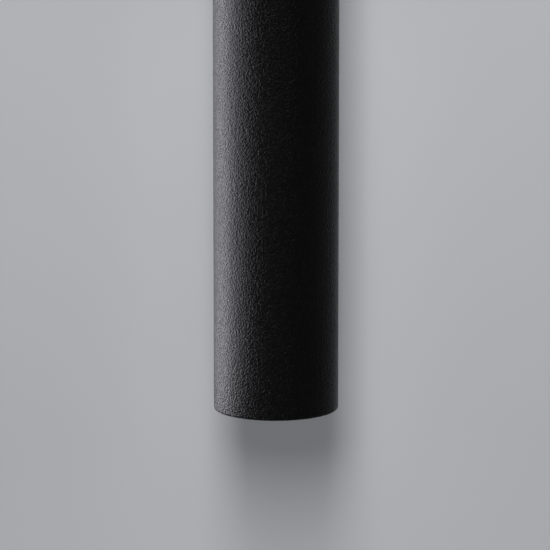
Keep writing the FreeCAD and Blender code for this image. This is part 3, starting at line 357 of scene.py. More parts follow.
    def make_drift(self) -> bpy.types.NodeTree:
        """Makes a value that wanders slowly over the surface between two ends.

        Returns:
            The node group.
        """
        graph, given, result = self.start(
            Effect.DRIFT,
            {
                "Vector": ("NodeSocketVector", None),
                "Scale": ("NodeSocketFloat", 30.0),
                "Low": ("NodeSocketFloat", 0.0),
                "High": ("NodeSocketFloat", 1.0),
            },
            {"Value": "NodeSocketFloat"},
        )
        scale = given.outputs["Scale"]
        base = graph.noise(given.outputs[0], scale, NOISE_DETAIL).outputs[0]
        ends = (given.outputs["Low"], given.outputs["High"])
        graph.feed(result.inputs["Value"], graph.remap(base, *DRIFT_SPAN, ends))
        return graph.tree


# ---------------------------------------------------------------- finishes
def tinted(colour: Colour, factor: float) -> Colour:
    """The colour made lighter or darker by a factor, and held under 1."""
    return tuple(min(1.0, part * factor) for part in colour)


@dataclass(frozen=True)
class Bench:
    """A material while a finish wires it."""

    graph: Graph
    shelf: EffectShelf
    shader: Node  # the material's Principled shader
    place: Socket  # the coordinates on the piece

    def effect(self, effect: Effect, **inputs: object) -> bpy.types.NodeOutputs:
        """The outputs of a shared effect that lies on the piece."""
        return self.shelf.use(self.graph, effect, Vector=self.place, **inputs).outputs

    def edges(self, reach: float, share: float) -> Socket:
        """The mask of the piece's edges, at a share of its strength."""
        mask = self.shelf.use(self.graph, Effect.EDGES, Reach=reach).outputs["Mask"]
        return self.graph.math("MULTIPLY", mask, share)

    def colour(self, colour: Socket) -> None:
        """Gives the shader its base colour."""
        self.graph.feed(self.shader.inputs["Base Color"], colour)

    def coloured(self) -> Socket:
        """The base colour that the shader has so far."""
        return self.shader.inputs["Base Color"].links[0].from_socket

    def gloss(self, height: Socket, span: tuple, middle: float, drift: float) -> None:
        """Gives the shader an uneven roughness.

        Args:
            height: What the roughness follows.
            span: The heights that give its two ends.
            middle: The roughness halfway.
            drift: How far its ends lie from the middle.
        """
        ends = (middle - drift, middle + drift)
        rough = self.graph.remap(height, *span, ends)
        self.graph.feed(self.shader.inputs["Roughness"], rough)

    def set(self, **values: object) -> None:
        """Sets plain values on the shader's inputs, an underscore for each space."""
        for name, value in values.items():
            self.shader.inputs[name.replace("_", " ")].default_value = value

    def relief(self, height: Socket, depth: float) -> None:
        """Bumps the shader's normal by a height from 0 to 1, of a depth in metres."""
        bump = self.graph.add("ShaderNodeBump", {"Height": height, "Distance": depth})
        self.graph.feed(self.shader.inputs["Normal"], bump.outputs[0])


@dataclass(frozen=True)
class Finish(ABC):
    """What a surface is made of, named for the record's material slot."""

    slot: str
    colour: Colour
    roughness: float

    def material(self, shelf: EffectShelf) -> bpy.types.Material:
        """Makes the material.

        Args:
            shelf: Where the shared effects come from.

        Returns:
            The finished material.
        """
        made = bpy.data.materials.new(self.slot)
        made.use_nodes = True
        made.node_tree.nodes.clear()
        graph = Graph(made.node_tree)
        shader = graph.add("ShaderNodeBsdfPrincipled")
        place = graph.add("ShaderNodeTexCoord").outputs["Object"]
        bench = Bench(graph, shelf, shader, place)
        self.dress(bench)
        graph.add("ShaderNodeOutputMaterial", {"Surface": self.cover(bench)})
        return made

    @abstractmethod
    def dress(self, bench: Bench) -> None:
        """Wires the shader's inputs.

        Args:
            bench: The material's bench.
        """

    def cover(self, bench: Bench) -> Socket:
        """What the surface shows: the shader alone, unless a finish adds to it."""
        return bench.shader.outputs["BSDF"]


@dataclass(frozen=True)
class PebbledCoat(Finish):
    """Textured powder coating."""

    # painted shade: the colour that the pits of the pebbles are darkened to
    pit_painted_shade_colour: Colour = (0.0006, 0.0006, 0.0006)
    # the lighter colour of the edges: partly thinner paint, partly a painted highlight
    edge_thin_paint_and_highlight_colour: Colour = (0.003, 0.003, 0.003)
    pebbles: float = 1400.0  # in a metre
    depth: float = 0.0003
    specular: float = 0.05
    drift: float = 0.02
    drift_scale: float = 22.0
    edge_reach: float = 0.0006
    edge_share: float = 0.5
    hollow_roughness: float = 0.12  # what the hollows add to the roughness

    def dress(self, bench: Bench) -> None:
        """Wires pebbles, painted shade in the hollows, a slow change of gloss, and edges
        made lighter by thinner paint and a painted highlight.

        Args:
            bench: The material's bench.
        """
        graph = bench.graph
        pebble = bench.effect(Effect.PEBBLE, Scale=self.pebbles)
        hollows = pebble["Hollows"]
        # The pits are painted darker here, as painted shade in the hollows.
        colour = graph.blend(hollows, self.colour, self.pit_painted_shade_colour)
        # Edges are painted lighter, as thinner paint and as a painted highlight.
        edges = bench.edges(self.edge_reach, self.edge_share)
        bench.colour(graph.blend(edges, colour, self.edge_thin_paint_and_highlight_colour))
        wander = bench.effect(
            Effect.DRIFT,
            Scale=self.drift_scale,
            Low=self.roughness - self.drift,
            High=self.roughness + self.drift,
        )["Value"]
        rough = graph.math("MULTIPLY_ADD", hollows, self.hollow_roughness, wander)
        graph.feed(bench.shader.inputs["Roughness"], rough)
        bench.set(Specular_IOR_Level=self.specular)
        bench.relief(pebble["Height"], self.depth)


@dataclass(frozen=True)
class MetalFinish(Finish):
    """Bare, plated or blackened metal."""

    second: Colour = (0.5, 0.5, 0.5)  # the other tone that it wanders to
    wander: float = 60.0
    edge_gain: float = 1.25
    edge_reach: float = 0.0003
    edge_share: float = 0.6
    stretch: tuple[float, float, float] = (3500.0, 3500.0, 250.0)
    line_span: tuple[float, float] = (0.1, 0.9)
    depth: float = 0.000004
    metallic: float = 1.0
    rough_drift: float = 0.08

    def dress(self, bench: Bench) -> None:
        """Wires two tones, working lines, polished edges and an uneven gloss.

        Args:
            bench: The material's bench.
        """
        tone = bench.effect(Effect.DRIFT, Scale=self.wander)["Value"]
        colour = bench.graph.blend(tone, self.colour, self.second)
        edges = bench.edges(self.edge_reach, self.edge_share)
        bright = tinted(self.colour, self.edge_gain)
        bench.colour(bench.graph.blend(edges, colour, bright))
        height = bench.effect(Effect.LINES, Stretch=self.stretch)["Height"]
        bench.gloss(height, self.line_span, self.roughness, self.rough_drift)
        bench.set(Metallic=self.metallic)
        bench.relief(height, self.depth)


@dataclass(frozen=True)
class MouldedFinish(Finish):
    """Moulded plastic, rubber or nylon."""

    grain: float = 2600.0
    depth: float = 0.00001
    edge_gain: float = 1.3
    edge_reach: float = 0.0004
    edge_share: float = 0.5
    drift: float = 0.06
    mottle: float = 0.92
    mottle_scale: float = 140.0
    specular: float = 0.5

    def dress(self, bench: Bench) -> None:
        """Wires a faint mottle, fine grain and paler moulded edges.

        Args:
            bench: The material's bench.
        """
        tone = bench.effect(Effect.DRIFT, Scale=self.mottle_scale)["Value"]
        colour = bench.graph.blend(tone, self.colour, tinted(self.colour, self.mottle))
        edges = bench.edges(self.edge_reach, self.edge_share)
        pale = tinted(self.colour, self.edge_gain)
        bench.colour(bench.graph.blend(edges, colour, pale))
        height = bench.effect(Effect.GRAIN, Scale=self.grain)["Height"]
        bench.gloss(height, UNIT, self.roughness, self.drift)
        bench.set(Specular_IOR_Level=self.specular)
        bench.relief(height, self.depth)


@dataclass(frozen=True)
class StripedInsulation(MouldedFinish):
    """Two-coloured insulation, split lengthwise."""

    stripe: Colour = (0.75, 0.6, 0.04)
    stripe_edge: tuple[float, float] = (0.1, 0.16)  # in the sideways part of the normal

    def dress(self, bench: Bench) -> None:
        """Wires the plain insulation, then the stripe along one side of the lead.

        Args:
            bench: The material's bench.
        """
        super().dress(bench)
        graph = bench.graph
        facing = graph.add("ShaderNodeTexCoord").outputs["Normal"]
        side = graph.add("ShaderNodeSeparateXYZ", {0: facing}).outputs["X"]
        share = graph.remap(side, *self.stripe_edge, UNIT)
        bench.colour(graph.blend(share, bench.coloured(), self.stripe))


@dataclass(frozen=True)
class CeramicFinish(Finish):
    """Unglazed pressed ceramic with sparse dark specks."""

    speck: Colour = (0.35, 0.3, 0.24)
    depth: float = 0.00002
    grain: float = 1800.0
    patches: float = 90.0
    patch_shade: float = 0.93
    drift: float = 0.08

    def dress(self, bench: Bench) -> None:
        """Wires a dry pressed grain, specks and slightly darker patches.

        Args:
            bench: The material's bench.
        """
        grain = bench.effect(Effect.GRAIN, Scale=self.grain)
        patches = bench.effect(Effect.DRIFT, Scale=self.patches)["Value"]
        shade = tinted(self.colour, self.patch_shade)
        colour = bench.graph.blend(patches, self.colour, shade)
        bench.colour(bench.graph.blend(grain["Specks"], colour, self.speck))
        bench.gloss(grain["Height"], UNIT, self.roughness, self.drift)
        bench.relief(grain["Height"], self.depth)


@dataclass(frozen=True)
class ClearLens(Finish):
    """Clear moulded lens plastic."""

    index: float = 1.58
    grain: float = 900.0
    depth: float = 0.000004
    uneven: float = 0.5  # how much of its roughness wanders

    def dress(self, bench: Bench) -> None:
        """Wires a slightly uneven polish and a faint moulding grain.

        Args:
            bench: The material's bench.
        """
        height = bench.effect(Effect.GRAIN, Scale=self.grain)["Height"]
        bench.gloss(height, UNIT, self.roughness, self.roughness * self.uneven)
        bench.set(Base_Color=opaque(self.colour), IOR=self.index, Transmission_Weight=1.0)
        bench.relief(height, self.depth)

    def cover(self, bench: Bench) -> Socket:
        """Lets light through the lens to what lies behind it.

        Args:
            bench: The material's bench.

        Returns:
            The surface, which is clear to shadow rays.
        """
        graph = bench.graph
        ray = graph.add("ShaderNodeLightPath").outputs["Is Shadow Ray"]
        clear = graph.add("ShaderNodeBsdfTransparent").outputs[0]
        inputs = {0: ray, 1: bench.shader.outputs["BSDF"], 2: clear}
        return graph.add("ShaderNodeMixShader", inputs).outputs[0]


@dataclass(frozen=True)
class TrackedBoard(MouldedFinish):
    """The white solder mask of the LED board, raised over its copper tracks."""

    ring: float = 0.011  # radius of the ring of LEDs
    track: float = 0.0022  # half width of the copper ring
    track_edge: float = 0.0001
    track_rise: float = 0.00005
    track_shade: float = 0.86

    def dress(self, bench: Bench) -> None:
        """Wires the plain mask, then the raised copper ring under it.

        Args:
            bench: The material's bench.
        """
        super().dress(bench)
        graph = bench.graph
        parts = graph.add("ShaderNodeSeparateXYZ", {0: bench.place}).outputs
        across = graph.math("SUBTRACT", parts["Y"], AXIS_Y)
        flat = graph.add("ShaderNodeCombineXYZ", {0: parts["X"], 1: across}).outputs[0]
        length = graph.add("ShaderNodeVectorMath", {0: flat}, operation="LENGTH")
        off_ring = graph.math("SUBTRACT", length.outputs["Value"], self.ring)
        off_ring = graph.math("ABSOLUTE", off_ring)
        inner = self.track - self.track_edge
        on_track = graph.remap(off_ring, self.track, inner, UNIT)
        shade = tinted(self.colour, self.track_shade)
        bench.colour(graph.blend(on_track, bench.coloured(), shade))
        bench.relief(on_track, self.track_rise)


ZINC_LINES = (900.0, 900.0, 900.0)
FINISHES = (
    PebbledCoat("black_coating", (0.0009, 0.0009, 0.001), 0.3),
    MetalFinish(
        "zinc_plate",
        (0.60, 0.61, 0.60),
        0.38,
        second=(0.5, 0.51, 0.53),
        stretch=ZINC_LINES,
    ),
    MetalFinish("plated_screw", (0.66, 0.66, 0.64), 0.3, second=(0.56, 0.57, 0.58)),
    MetalFinish(
        "blackened_screw",
        (0.022, 0.022, 0.024),
        0.4,
        second=(0.014, 0.014, 0.016),
        edge_gain=3.0,
        metallic=0.85,
    ),
    MouldedFinish(
        "black_rubber", (0.014, 0.014, 0.015), 0.72, grain=1800.0, depth=0.00003
    ),
    MouldedFinish("white_nylon", (0.78, 0.77, 0.72), 0.42, edge_gain=1.08, mottle=0.96),
    MetalFinish("brass", (0.70, 0.50, 0.20), 0.3, second=(0.6, 0.42, 0.17)),
    MetalFinish("tinned_copper", (0.72, 0.70, 0.66), 0.25, second=(0.64, 0.62, 0.58)),
    MouldedFinish("live_insulation", (0.16, 0.06, 0.025), 0.4),
    MouldedFinish("neutral_insulation", (0.03, 0.12, 0.42), 0.4),
    StripedInsulation("earth_insulation", (0.04, 0.3, 0.05), 0.4),
    MouldedFinish(
        "black_baffle",
        (0.006, 0.006, 0.0062),
        0.6,
        grain=1500.0,
        depth=0.00004,
        specular=0.2,
    ),
    MetalFinish("spring_steel", (0.5, 0.5, 0.5), 0.28, second=(0.42, 0.41, 0.4)),
    MetalFinish(
        "lamp_body",
        (0.80, 0.80, 0.80),
        0.4,
        second=(0.72, 0.72, 0.73),
        stretch=(1500.0, 1500.0, 1500.0),
        depth=0.00001,
    ),
    MouldedFinish("lamp_plastic", (0.80, 0.80, 0.78), 0.4, edge_gain=1.06, mottle=0.97),
    MetalFinish("pin_metal", (0.75, 0.74, 0.70), 0.22, second=(0.68, 0.66, 0.62)),
    ClearLens("lamp_lens", (0.97, 0.98, 0.98), 0.04),
    TrackedBoard("board_white", (0.80, 0.80, 0.77), 0.3, edge_gain=1.05, mottle=0.98),
    MouldedFinish("led_phosphor", (0.85, 0.62, 0.07), 0.35, grain=4000.0, mottle=0.9),
    CeramicFinish("holder_ceramic", (0.84, 0.82, 0.76), 0.6),
)


class FinishBook:
    """All the finishes, each made into one material when it is first used."""

    def __init__(self) -> None:
        """Sorts the finishes by slot."""
        self.shelf = EffectShelf()
        self.finishes = {finish.slot: finish for finish in FINISHES}
        self.made: dict[str, bpy.types.Material] = {}

    def get(self, slot: str) -> bpy.types.Material:
        """Finds the material of a slot, or makes it.

        Args:
            slot: The slot's name.

        Returns:
            The material.
        """
        if slot not in self.made:
            self.made[slot] = self.finishes[slot].material(self.shelf)
        return self.made[slot]


# ---------------------------------------------------------------- meshes
def lathe(shape: bmesh.types.BMesh, outline: list, steps: int, place: Matrix) -> None:
    """Adds a closed turned solid.

    Args:
        shape: The mesh that gets the solid.
        outline: (radius, height) pairs from one end of the axis to the other.
        steps: How many steps there are round the axis.
        place: Where the solid's axis and base go.
    """
    rings = []
    for radius, height in outline:
        if radius < ON_AXIS:
            rings.append([shape.verts.new(place @ Vector((0, 0, height)))])
            continue
        ring = []
        for step in range(steps):
            angle = 2 * math.pi * step / steps
            spot = Vector((radius * math.cos(angle), radius * math.sin(angle), height))
            ring.append(shape.verts.new(place @ spot))
        rings.append(ring)
    for lower, upper in zip(rings, rings[1:]):
        for step in range(steps):
            after = (step + 1) % steps
            if len(lower) == 1:
                shape.faces.new((lower[0], upper[after], upper[step]))
            elif len(upper) == 1:
                shape.faces.new((lower[step], lower[after], upper[0]))
            else:
                shape.faces.new((lower[step], lower[after], upper[after], upper[step]))


def piece(name: str, shape: bmesh.types.BMesh) -> bpy.types.Object:
    """Turns a mesh into an object with soft shading and sharp edges.

    Args:
        name: The object's name.
        shape: The mesh, which is freed.

    Returns:
        The object, linked to the scene.
    """
    bmesh.ops.recalc_face_normals(shape, faces=shape.faces)
    data = bpy.data.meshes.new(name)
    shape.to_mesh(data)
    shape.free()
    made = bpy.data.objects.new(name, data)
    bpy.context.scene.collection.objects.link(made)
    soften(made)
    return made


def soften(made: bpy.types.Object) -> None:
    """Shades an object smooth, but for its sharp edges."""
    made.data.shade_smooth()
    made.data.set_sharp_from_angle(angle=SMOOTH_ANGLE)


def union(base: bpy.types.Object, others: list, least: float) -> bpy.types.Object:
    """Joins solids into one closed mesh.

    Args:
        base: The object that is kept.
        others: The objects that go into it, and are removed.
        least: Edges shorter than this are closed up.

    Returns:
        The joined object.
    """
    for other in others:
        step = base.modifiers.new(other.name, "BOOLEAN")
        step.operation, step.solver, step.object = "UNION", "EXACT", other
    graph = bpy.context.evaluated_depsgraph_get()
    joined = bpy.data.meshes.new_from_object(base.evaluated_get(graph))
    base.modifiers.clear()
    shape = bmesh.new()
    shape.from_mesh(joined)
    bmesh.ops.remove_doubles(shape, verts=shape.verts, dist=least)
    bmesh.ops.dissolve_degenerate(shape, edges=shape.edges, dist=least)
    many_sided = [face for face in shape.faces if len(face.verts) > 4]
    bmesh.ops.triangulate(shape, faces=many_sided)
    shape.to_mesh(joined)
    shape.free()
    base.data = joined
    for other in others:
        bpy.data.objects.remove(other)
    soften(base)
    return base


# ---------------------------------------------------------------- sub-assemblies
@dataclass
class SubAssembly(ABC):
    """A group of pieces that are made and dressed together."""

    book: FinishBook

    @abstractmethod
    def build(self) -> None:
        """Makes and dresses the pieces."""

    def dress(self, slot: str, *nodes: str) -> None:
        """Gives CAD nodes their finish.

        Args:
            slot: The slot of the finish.
            *nodes: The nodes' names.
        """
        for name in nodes:
            self.paint(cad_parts[name], slot)
            log.info("dressed %s in %s", name, slot)

    def paint(self, made: bpy.types.Object, slot: str) -> None:
        """Gives an object one material."""
        made.data.materials.clear()
        made.data.materials.append(self.book.get(slot))

    def fit(self, made: bpy.types.Object, slot: str, body: str, *nodes: str) -> None:
        """Dresses a new piece and sets it on its body.

        Args:
            made: The new piece.
            slot: The slot that its finish comes from.
            body: The body that it rides on.
            *nodes: The CAD nodes that it stands for.
        """
        self.paint(made, slot)
        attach(made, body)
        if nodes:
            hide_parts(*nodes)
        log.info("made %s on %s", made.name, body)


@dataclass
class WallSide(SubAssembly):
    """The plate on the wall and what is fixed to it."""

    def build(self) -> None:
        """Dresses the plate, its nuts, bushing and earth screw, and the side screws."""
        self.dress("zinc_plate", "wall_plate", "weld_nuts")
        self.dress("plated_screw", "earth_washer", "earth_screw")
        self.dress("black_rubber", "cable_bushing")
        self.dress("blackened_screw", "left_clamp_washer", "right_clamp_washer")
        self.dress("blackened_screw", "left_clamp_screw", "right_clamp_screw")


@dataclass
class TubeAndCanopy(SubAssembly):
    """The coated housing, and what holds its two parts together."""

    def build(self) -> None:
        """Dresses the tube, the canopy, the seal and the saddle joint."""
        self.dress("black_coating", "tube", "canopy")
        self.dress("black_rubber", "rim_seal", "lead_bush")
        self.dress("zinc_plate", "saddle_nut_plate")
        self.dress("plated_screw", "saddle_washers", "saddle_screws")


@dataclass
class Wiring(SubAssembly):
    """The terminal block, the canopy's earth and the leads."""

    def build(self) -> None:
        """Dresses the terminals, the earth tag and every lead."""
        self.dress("white_nylon", "terminal_block")
        self.dress("brass", "terminal_inserts")
        self.dress("plated_screw", "terminal_screws", "terminal_fixing_screws")
        self.dress("plated_screw", "canopy_earth_screw")
        self.dress("tinned_copper", "earth_tag", "lead_ferrules")
        self.dress("live_insulation", "lower_live_lead", "upper_live_lead")
        self.dress("neutral_insulation", "lower_neutral_lead", "upper_neutral_lead")
        self.dress("earth_insulation", "earth_lead")


class End(Enum):
    """The tube's two ends, and which way each one faces."""

    LOWER = -1
    UPPER = 1


END_LOOKS = {
    "glare_baffle": "black_baffle",
    "baffle_springs": "spring_steel",
    "lamp_shell": "lamp_body",
    "lamp_base": "lamp_plastic",
    "lamp_pins": "pin_metal",
    "led_board": "board_white",
    "lampholder": "holder_ceramic",
    "holder_contacts": "brass",
    "holder_screws": "plated_screw",
    "holder_bracket": "zinc_plate",
    "bracket_screws": "blackened_screw",
}


@dataclass
class LampEnd(SubAssembly):
    """The baffle, the lamp and the lampholder at one end of the tube."""

    end: End
    lens_radius: float = 23.4 * MM
    lens_front: float = 31.6 * MM  # depth of the lens's face inside the tube
    lens_thickness: float = 2.4 * MM
    lens_chamfer: float = 0.25 * MM
    dome_radius: float = 5.0 * MM
    dome_height: float = 0.45 * MM
    dome_sink: float = 0.02 * MM  # how far its rim lies under the lens's face
    dome_steps: int = 8
    least_edge: float = 0.002  # in mm, as the lens is made in
    lens_steps: int = 96  # round the disc
    optic_steps: int = 48  # round each light guide
    guide_depth: float = 6.8 * MM  # how far each light guide reaches behind the lens
    board_depth: float = 42.0 * MM
    chip_size: float = 3.5 * MM
    chip_height: float = 0.7 * MM
    chip_rim: float = 0.35 * MM
    chip_dip: float = 0.12 * MM
    chip_bevel: float = 0.08 * MM
    bead_radius: float = 1.25 * MM
    bead_sink: float = 0.16 * MM  # of its foot, under the chip's top
    bead_wall: float = 0.12 * MM  # the upright part under its dome
    bead_rise: float = 0.9  # height of its dome as a share of its radius
    bead_rings: int = 8
    bead_steps: int = 32
    ring_radius: float = 11.0 * MM
    ring_count: int = 6
    tube_end: float = 300 * MM
    # Outline of a light guide: (radius, height over its back) in mm round its LED, and
    # (radius in mm, share of the way to the lens) on its outside.
    cup: tuple = ((0, 2.4), (1.0, 2.2), (1.75, 1.4), (1.9, 0.0))
    guide: tuple = ((2.2, 0.0), (2.9, 0.25), (3.7, 0.55), (4.4, 0.85), (4.7, 1.2))

    def build(self) -> None:
        """Makes the lens and the LEDs, and dresses the rest."""
        side = self.end.name.lower()
        for part, slot in END_LOOKS.items():
            self.dress(slot, f"{side}_{part}")
        body = side + "_lamp"
        self.fit(self.make_lens(), "lamp_lens", body, side + "_lamp_lens")
        self.fit(self.make_chips(), "board_white", body, side + "_leds")
        self.fit(self.make_beads(), "led_phosphor", body)

    def seat(self, depth: float) -> Matrix:
        """Finds a place on the tube's axis.

        Args:
            depth: How deep inside this end it lies.

        Returns:
            The place, with its Z axis out of this end.
        """
        height = self.end.value * (self.tube_end - depth)
        turn = Matrix.Identity(4)
        if self.end is End.LOWER:
            turn = Matrix.Rotation(math.pi, 4, "X")
        return Matrix.Translation((0, AXIS_Y, height)) @ turn

    def led_spots(self) -> list[Vector]:
        """Finds where the LEDs stand on their board.

        Returns:
            The spots, in the seat's own plane.
        """
        spots = [Vector((0, 0, 0))]
        for step in range(self.ring_count):
            angle = 2 * math.pi * step / self.ring_count
            spots.append(self.ring_radius * Vector((math.cos(angle), math.sin(angle), 0)))
        return spots

    def make_lens(self) -> bpy.types.Object:
        """Makes the lens: a disc with a light guide and a dome for each LED.

        It is made lying flat, in millimetres, so that its solids join cleanly, and
        goes to its seat at the end.

        Returns:
            The lens, as one closed mesh.
        """
        name = self.end.name.lower() + "_clear_lens"
        radius, thick = self.lens_radius / MM, self.lens_thickness / MM
        edge = self.lens_chamfer / MM
        disc = [
            (0, -thick),
            (radius - edge, -thick),
            (radius, edge - thick),
            (radius, -edge),
            (radius - edge, 0),
            (0, 0),
        ]
        shape = bmesh.new()
        lathe(shape, disc, self.lens_steps, Matrix.Identity(4))
        lens = piece(name, shape)
        optics = []
        for index, spot in enumerate(self.led_spots()):
            shape = bmesh.new()
            place = Matrix.Translation(spot / MM)
            lathe(shape, self.optic_outline(), self.optic_steps, place)
            optics.append(piece(f"{name}_optic_{index}", shape))
        lens = union(lens, optics, self.least_edge)
        lens.data.transform(self.seat(self.lens_front) @ Matrix.Scale(MM, 4))
        return lens

    def optic_outline(self) -> list:
        """Draws one light guide with its dome.

        Returns:
            The outline in mm, from the cup round its LED to the top of the dome.
        """
        thick, deep = self.lens_thickness / MM, self.guide_depth / MM
        low, middle = -thick - deep, -thick / 2
        full = self.guide[-1][1]
        line = [(radius, low + rise) for radius, rise in self.cup]
        for radius, part in self.guide:
            line.append((radius, low + part / full * (middle - low)))
        rim, height = self.dome_radius / MM, self.dome_height / MM
        ball = (rim**2 + height**2) / (2 * height)
        line.append((rim, middle))
        for step in range(self.dome_steps):
            radius = rim * (1 - step / self.dome_steps)
            rise = math.sqrt(ball**2 - radius**2) - (ball - height)
            line.append((radius, rise - self.dome_sink / MM))
        return line + [(0, height - self.dome_sink / MM)]

    def make_chips(self) -> bpy.types.Object:
        """Makes the LED packages: low blocks with bevelled edges and a sunken face.

        Returns:
            All the packages of this end, as one object.
        """
        shape = bmesh.new()
        seat = self.seat(self.board_depth)
        for spot in self.led_spots():
            size = Matrix.Diagonal((self.chip_size, self.chip_size, self.chip_height, 1))
            lift = Matrix.Translation(spot + Vector((0, 0, self.chip_height / 2)))
            made = bmesh.ops.create_cube(shape, size=1.0, matrix=seat @ lift @ size)
            faces = {face for vert in made["verts"] for face in vert.link_faces}
            out = seat.to_3x3() @ Vector((0, 0, 1))
            for face in faces:
                face.normal_update()
            top = [face for face in faces if face.normal.dot(out) > 0.9]
            rim, dip = self.chip_rim, self.chip_dip
            bmesh.ops.inset_region(shape, faces=top, thickness=rim, depth=-dip)
        bmesh.ops.bevel(
            shape,
            geom=[edge for edge in shape.edges if edge.calc_face_angle(0) > 1.0],
            offset=self.chip_bevel,
            segments=2,
            affect="EDGES",
        )
        return piece(self.end.name.lower() + "_led_packages", shape)

    def make_beads(self) -> bpy.types.Object:
        """Makes the yellow beads of the LEDs.

        Returns:
            All the beads of this end, as one object.
        """
        shape = bmesh.new()
        seat = self.seat(self.board_depth)
        base = self.chip_height - self.bead_sink
        line = [(0, base), (self.bead_radius, base)]
        for step in range(1, self.bead_rings):
            angle = math.pi / 2 * step / self.bead_rings
            rise = self.bead_radius * self.bead_rise * math.sin(angle)
            out = self.bead_radius * math.cos(angle)
            line.append((out, base + self.bead_wall + rise))
        top = base + self.bead_wall + self.bead_radius * self.bead_rise
        line.append((0, top))
        for spot in self.led_spots():
            lathe(shape, line, self.bead_steps, seat @ Matrix.Translation(spot))
        return piece(self.end.name.lower() + "_led_beads", shape)


# ---------------------------------------------------------------- studio
@dataclass(frozen=True)
class Softbox:
    """A rectangular soft light."""

    name: str
    place: tuple[float, float, float]
    target: tuple[float, float, float]
    width: float
    height: float
    power: float
    colour: Colour = (1.0, 1.0, 1.0)
    matt: bool = True  # whether matt surfaces get its light
    gloss: bool = True  # whether it shines in glossy ones
    spread: float = 180.0  # of its beam, in degrees
    only: tuple[str, ...] = ()  # the nodes that it lights, if not all of them

    def build(self) -> None:
        """Adds the light, aimed at its target."""
        lamp = bpy.data.lights.new(self.name, "AREA")
        lamp.shape = "RECTANGLE"
        lamp.size, lamp.size_y = self.width, self.height
        lamp.energy, lamp.color = self.power, self.colour
        lamp.spread = math.radians(self.spread)
        made = bpy.data.objects.new(self.name, lamp)
        bpy.context.scene.collection.objects.link(made)
        made.location = self.place
        aim = Vector(self.target) - Vector(self.place)
        made.rotation_euler = aim.to_track_quat("-Z", "Y").to_euler()
        made.visible_camera = False
        made.visible_diffuse, made.visible_glossy = self.matt, self.gloss
        if self.only:
            lit = bpy.data.collections.new(self.name + "_lights")
            for node in self.only:
                lit.objects.link(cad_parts[node])
            made.light_linking.receiver_collection = lit
        log.info("light %s", self.name)


LIGHTS = (
    Softbox(
        "key", (-0.13, -1.6, 1.0), (0, -0.06, -0.25), width=0.5, height=1.4, power=30.5
    ),
    Softbox(
        "left", (-1.3, -0.4, 0.5), (0, -0.07, 0.1), width=0.5, height=1.2, power=10.0
    ),
    Softbox(
        "right",
        (1.3, -0.4, 0.6),
        (0, -0.07, 0.1),
        width=0.5,
        height=1.2,
        power=13.0,
        gloss=False,
    ),
    Softbox(  # gives the coat its bright left band in the photograph
        "strip",
        (-0.11, -0.075, 0.1),
        (-0.016, -0.109, 0.1),
        width=0.15,
        height=0.86,
        power=2.7,
        colour=(0.93, 0.92, 1.0),
        matt=False,
        spread=120.0,
        only=("tube", "canopy"),
    ),
    Softbox(  # for the views from behind
        "rear", (0.0, 1.9, 1.2), (0, -0.03, 0.0), width=1.8, height=1.8, power=32.0
    ),
)


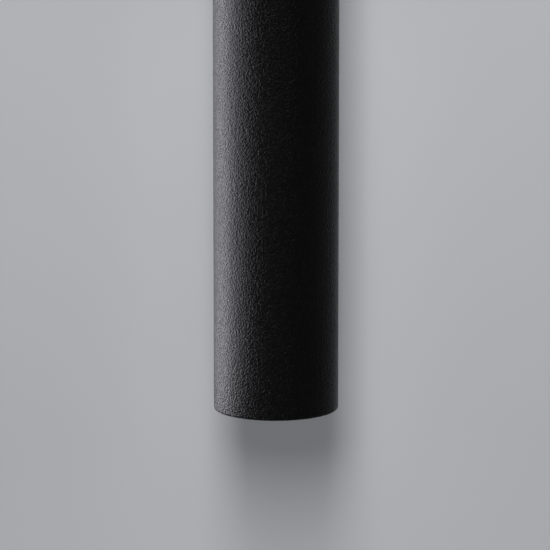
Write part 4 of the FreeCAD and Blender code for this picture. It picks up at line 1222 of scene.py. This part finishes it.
@dataclass
class Studio:
    """The wall, the floor, the lights and the camera."""

    wall_reach: float = 0.75
    wall_y: float = 0.5 * MM
    flush: float = 8.0 * MM  # rays from nearer the wall don't see it
    floor_reach: float = 6.0
    floor_z: float = -1.1
    wall_colour: Colour = (0.505, 0.517, 0.542)
    floor_colour: Colour = (0.42, 0.43, 0.44)
    floor_glow: float = 0.8  # what the floor adds of its own colour where it is seen
    fill_colour: Colour = (0.13, 0.13, 0.132)  # what the room adds to matt surfaces
    room_colour: Colour = (0.44, 0.45, 0.46)  # what is seen of it, also in gloss
    camera_place: tuple = (-0.5 * MM, -1787.4 * MM, 78.45 * MM)
    camera_pitch: float = 10.3  # degrees below the horizon
    lens: float = 238.9
    paint_drift: float = 5.0  # how many slow changes of its tone there are in a metre
    paint_span: tuple[float, float] = (0.3, 0.7)
    paint_shade: float = 0.985  # how dark the paint's darker patches are

    def build(self) -> None:
        """Builds the studio."""
        self.make_camera()
        self.make_world()
        turns = ((-1, -1), (1, -1), (1, 1), (-1, 1))
        wide, deep, reach = self.wall_reach, self.floor_z, self.floor_reach
        wall = [(x * wide, self.wall_y, -z * deep) for x, z in turns]
        floor = [(x * reach, y * reach, deep) for x, y in turns]
        self.make_screen("studio_wall", wall, self.wall_colour, 0.0)
        self.make_screen("studio_floor", floor, self.floor_colour, self.floor_glow)
        for light in LIGHTS:
            light.build()
        view = bpy.context.scene.view_settings
        view.view_transform = "Standard"

    def make_camera(self) -> None:
        """Adds the camera where the photograph was taken from."""
        data = bpy.data.cameras.new("camera")
        data.lens, data.sensor_width = self.lens, 36.0
        data.clip_start, data.clip_end = 0.05, 50.0
        camera = bpy.data.objects.new("camera", data)
        bpy.context.scene.collection.objects.link(camera)
        camera.location = self.camera_place
        camera.rotation_euler = (math.radians(90 - self.camera_pitch), 0, 0)
        bpy.context.scene.camera = camera

    def make_world(self) -> None:
        """Sets the even light of the room, and the pale room that is seen."""
        world = bpy.data.worlds.new("room")
        world.use_nodes = True
        graph = Graph(world.node_tree)
        colour = graph.blend(self.seen(graph), self.fill_colour, self.room_colour)
        graph.feed(world.node_tree.nodes["Background"].inputs["Color"], colour)
        bpy.context.scene.world = world

    def seen(self, graph: Graph) -> Socket:
        """Masks the rays that sight, gloss and glass send out.

        Args:
            graph: The graph that gets the mask.

        Returns:
            A value of 1 for those rays and 0 for all others.
        """
        rays = graph.add("ShaderNodeLightPath").outputs
        plain = graph.math("MAXIMUM", rays["Is Camera Ray"], rays["Is Transmission Ray"])
        return graph.math("MAXIMUM", plain, rays["Is Glossy Ray"])

    def make_screen(self, name: str, corners: list, colour: Colour, glow: float) -> None:
        """Adds a flat pale surface that only its front shows.

        Args:
            name: The object's name.
            corners: Its corners, turning left as seen from the front.
            colour: The colour of its paint.
            glow: How much of its colour it adds where it is seen.
        """
        shape = bmesh.new()
        shape.faces.new([shape.verts.new(corner) for corner in corners])
        data = bpy.data.meshes.new(name)
        shape.to_mesh(data)
        shape.free()
        made = bpy.data.objects.new(name, data)
        bpy.context.scene.collection.objects.link(made)
        data.materials.append(self.paint(name, colour, glow))

    def paint(self, name: str, colour: Colour, glow: float) -> bpy.types.Material:
        """Makes matt paint that light passes through, and sight from behind.

        Args:
            name: The material's name.
            colour: The colour of the paint.
            glow: How much of its colour it adds where it is seen.

        Returns:
            The material.
        """
        made = bpy.data.materials.new(name)
        made.use_nodes = True
        made.node_tree.nodes.clear()
        graph = Graph(made.node_tree)
        place = graph.add("ShaderNodeTexCoord").outputs["Object"]
        drift = graph.noise(place, self.paint_drift, 2.0).outputs[0]
        share = graph.remap(drift, *self.paint_span, UNIT)
        tone = graph.blend(share, colour, tinted(colour, self.paint_shade))
        matt = graph.add("ShaderNodeBsdfDiffuse", {"Color": tone}).outputs[0]
        inputs = {"Color": tone, "Strength": glow}
        shine = graph.add("ShaderNodeEmission", inputs).outputs[0]
        matt = graph.add("ShaderNodeAddShader", {0: matt, 1: shine}).outputs[0]
        clear = graph.add("ShaderNodeBsdfTransparent").outputs[0]
        behind = graph.add("ShaderNodeNewGeometry").outputs["Backfacing"]
        unseen = graph.math("SUBTRACT", 1.0, self.seen(graph))
        span = graph.add("ShaderNodeLightPath").outputs["Ray Length"]
        near = graph.math("LESS_THAN", span, self.flush)
        unseen = graph.math("MAXIMUM", unseen, graph.math("MAXIMUM", behind, near))
        surface = graph.add("ShaderNodeMixShader", {0: unseen, 1: matt, 2: clear})
        graph.add("ShaderNodeOutputMaterial", {"Surface": surface.outputs[0]})
        return made


def main() -> None:
    """Builds the studio and dresses every part of the light."""
    logging.basicConfig(level=logging.INFO, format="%(message)s")
    Studio().build()
    book = FinishBook()
    parts = [WallSide(book), TubeAndCanopy(book), Wiring(book)]
    parts += [LampEnd(book, end) for end in End]
    for part in parts:
        part.build()
        log.info("finished %s", type(part).__name__)


def corners(box: tuple) -> list:
    """A box's two corners as plain numbers."""
    return [[float(part) for part in corner] for corner in box]


if __name__ == "__main__":
    main()
